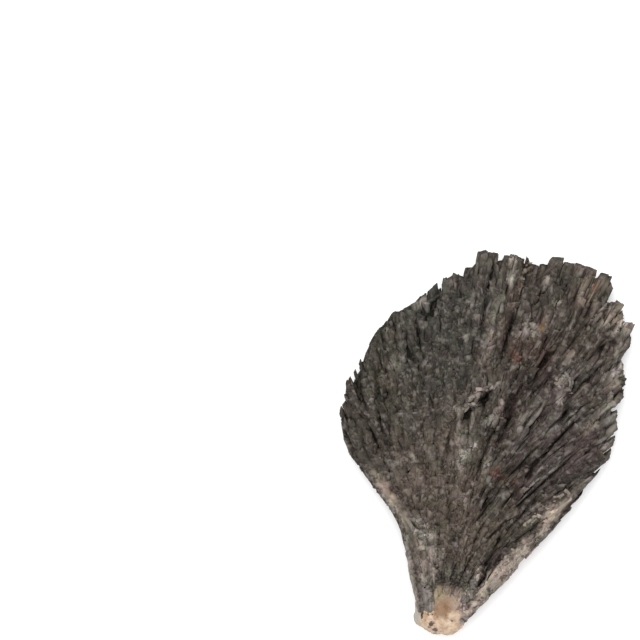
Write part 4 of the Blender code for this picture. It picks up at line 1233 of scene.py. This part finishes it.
def feldspar_material():
    """Cream feldspar: peach and white patches, an olive-tan tongue, brown stains, and painted shade in small
    pits and on its lower edge.
    """
    n = Nodes("feldspar")
    here = n.millimetres()
    wide, fine, grit = n.noise(here, 0.34, 2.0), n.noise(here, 0.9, 3.0, 0.6), n.noise(here, 3.2, 2.0)
    across = n.add("ShaderNodeSeparateXYZ", {0: here}).outputs[0]
    left = n.minus(across, n.times(fine, 2.4))
    colour = n.dye(rgba(PEACH), (
        (n.remap(wide, 0.42, 0.58), BISCUIT),
        (n.remap(fine, 0.5, 0.64, 0.0, 0.7), MILKY),
        (n.remap(fine, 0.48, 0.36, 0.0, 0.6), TOFFEE),
        (n.remap(left, APEX[0] - 4.0, APEX[0] - 5.6, 0.0, 0.8), BLUISH_GREY),
    ))
    flat = n.scaled(here, (1.0, 1.0, 0.3))
    for (x, y), reach, tint, strength in FELDSPAR_STAINS_AND_SHADE:
        middle = (APEX[0] + x, APEX[1] + y, 2.2)
        near = n.add("ShaderNodeVectorMath", {0: flat, 1: middle}, operation="DISTANCE").outputs["Value"]
        far = n.plus(near, n.times(n.minus(fine, 0.5), 2.2))
        colour = n.mix(n.remap(far, reach, 0.6 * reach, 0.0, strength), colour, rgba(tint))
    colour = n.mix(1.0, colour, FELDSPAR_DIM, "MULTIPLY")
    n.link(colour, "Base Color")
    n.link(n.remap(grit, 0.3, 0.7, 0.5, 0.75), "Roughness")
    n.bump(n.plus(grit, fine), 0.6, 0.0003)
    return n.material


def floor_material():
    n = Nodes("white_floor")
    n.fix("Base Color", (FLOOR_SHADE, FLOOR_SHADE, FLOOR_SHADE, 1.0))
    n.fix("Roughness", 0.9)
    n.fix("Specular IOR Level", 0.1)
    return n.material


# ------------ stage


def seen_at(px, py):
    """The place in the part's frame that a pixel of the photograph's frame shows."""
    dx, dy = px - APEX_PIXEL[0], APEX_PIXEL[1] - py
    x = (dx * math.cos(FAN_TURN) - dy * math.sin(FAN_TURN)) * PIXEL
    y = (dx * math.sin(FAN_TURN) + dy * math.cos(FAN_TURN)) * PIXEL
    return APEX[0] + x, APEX[1] + y


def camera():
    """Straight down on the fan, turned and shifted so that the fan lies in the frame as photographed."""
    data = bpy.data.cameras.new("camera")
    data.lens, data.sensor_width = LENS, SENSOR
    data.clip_start, data.clip_end = 0.01, 10.0
    made = add_object("camera", data)
    x, y = seen_at(FRAME_PIXELS / 2, FRAME_PIXELS / 2)
    away = LENS / SENSOR * FRAME_PIXELS * PIXEL + PICTURE_HEIGHT
    made.location = (x * MM, y * MM, away * MM)
    made.rotation_euler = (0.0, 0.0, FAN_TURN)
    bpy.context.scene.camera = made


def key_light():
    """One soft disk up and to the left, aimed at the fan's middle."""
    data = bpy.data.lights.new("key", "AREA")
    data.shape, data.size, data.energy = "DISK", KEY_SIZE * MM, KEY_WATTS
    made = add_object("key", data)
    made.location = Vector(KEY_PLACE) * MM
    made.rotation_euler = (-Vector(KEY_PLACE)).to_track_quat("-Z", "Y").to_euler()


def stage():
    """The white floor, even white light from all sides, and the key light."""
    mesh = bmesh.new()
    bmesh.ops.create_grid(mesh, x_segments=1, y_segments=1, size=FLOOR_SIZE)
    floor = from_bmesh("floor", mesh)
    floor.data.materials.append(floor_material())
    world = bpy.data.worlds.new("studio")
    world.use_nodes = True
    sky = world.node_tree.nodes["Background"].inputs
    sky["Color"].default_value, sky["Strength"].default_value = (1.0, 1.0, 1.0, 1.0), WORLD_LIGHT
    bpy.context.scene.world = world
    key_light()
    bpy.context.scene.view_settings.view_transform = "Standard"


# ------------ everything


def front_relief():
    relief = Relief(1)
    relief.lay_plates(480, length=(3.0, 9.0), width=(1.6, 3.8), rise=(0.2, 0.7))
    relief.open_slits(45, length=(0.6, 2.4), width=(0.35, 0.6), depth=(0.7, 1.3), seed=23)
    relief.open_slits(110, length=(2.0, 6.5), width=(0.4, 0.6), depth=(0.5, 1.1), seed=29, from_angle=3.0)
    relief.open_rim()
    for start, end, width, depth in SLITS:
        relief.open_slit(tuple(APEX + start), tuple(APEX + end), width, depth)
    return relief


def back_relief():
    relief = Relief(5)
    relief.lay_plates(260, length=(6.0, 14.0), width=(2.0, 4.0), rise=(0.15, 0.6))
    relief.open_slits(60, length=(1.5, 5.0), width=(0.4, 0.6), depth=(0.6, 1.2), seed=31)
    relief.open_rim()
    return relief


def fan():
    ground()
    big = dict(thick=(0.5, 1.1), lift=(-0.15, 0.45), sink=(0.4, 0.8), chip=0.13, rings=5)
    crumbly = dict(length=(2.4, 7.5), width=(0.9, 2.2), stray=6.0)
    ribbed = dict(length=(3.0, 11.0), width=(0.7, 1.7), stray=4.0)
    fine = dict(
        length=(1.4, 4.0), width=(0.6, 1.5), thick=(0.35, 0.8), lift=(0.0, 0.45), sink=(0.1, 0.4),
        stray=11.0, chip=0.22, rings=3,
    )
    for side, half, kind in (("left", -1, crumbly), ("right", 1, ribbed)):
        face_blades(f"front_blades_{side}", front_surface, 1.0, FRONT_COUNT, 11, half=half, **big, **kind)
    face_blades(
        "front_ribs", front_surface, 1.0, RIB_COUNT, 15, length=(4.5, 12.0), width=(0.45, 1.0),
        thick=(0.6, 1.2), lift=(0.15, 0.6), sink=(0.3, 0.6), stray=2.5, chip=0.12, rings=5, half=1,
    )
    face_blades("front_splinters", front_surface, 1.0, FRONT_SPLINTERS, 12, **fine)
    face_blades("back_blades", back_surface, -1.0, BACK_COUNT, 13, **big, **ribbed)
    face_blades("back_splinters", back_surface, -1.0, BACK_SPLINTERS, 14, **fine)
    rim_blades()
    flank_blades()
    collar_blades()
    crumbs()


KYANITE = kyanite_material()
FRONT_RELIEF, BACK_RELIEF = front_relief(), back_relief()
camera()
stage()
fan()
feldspar()
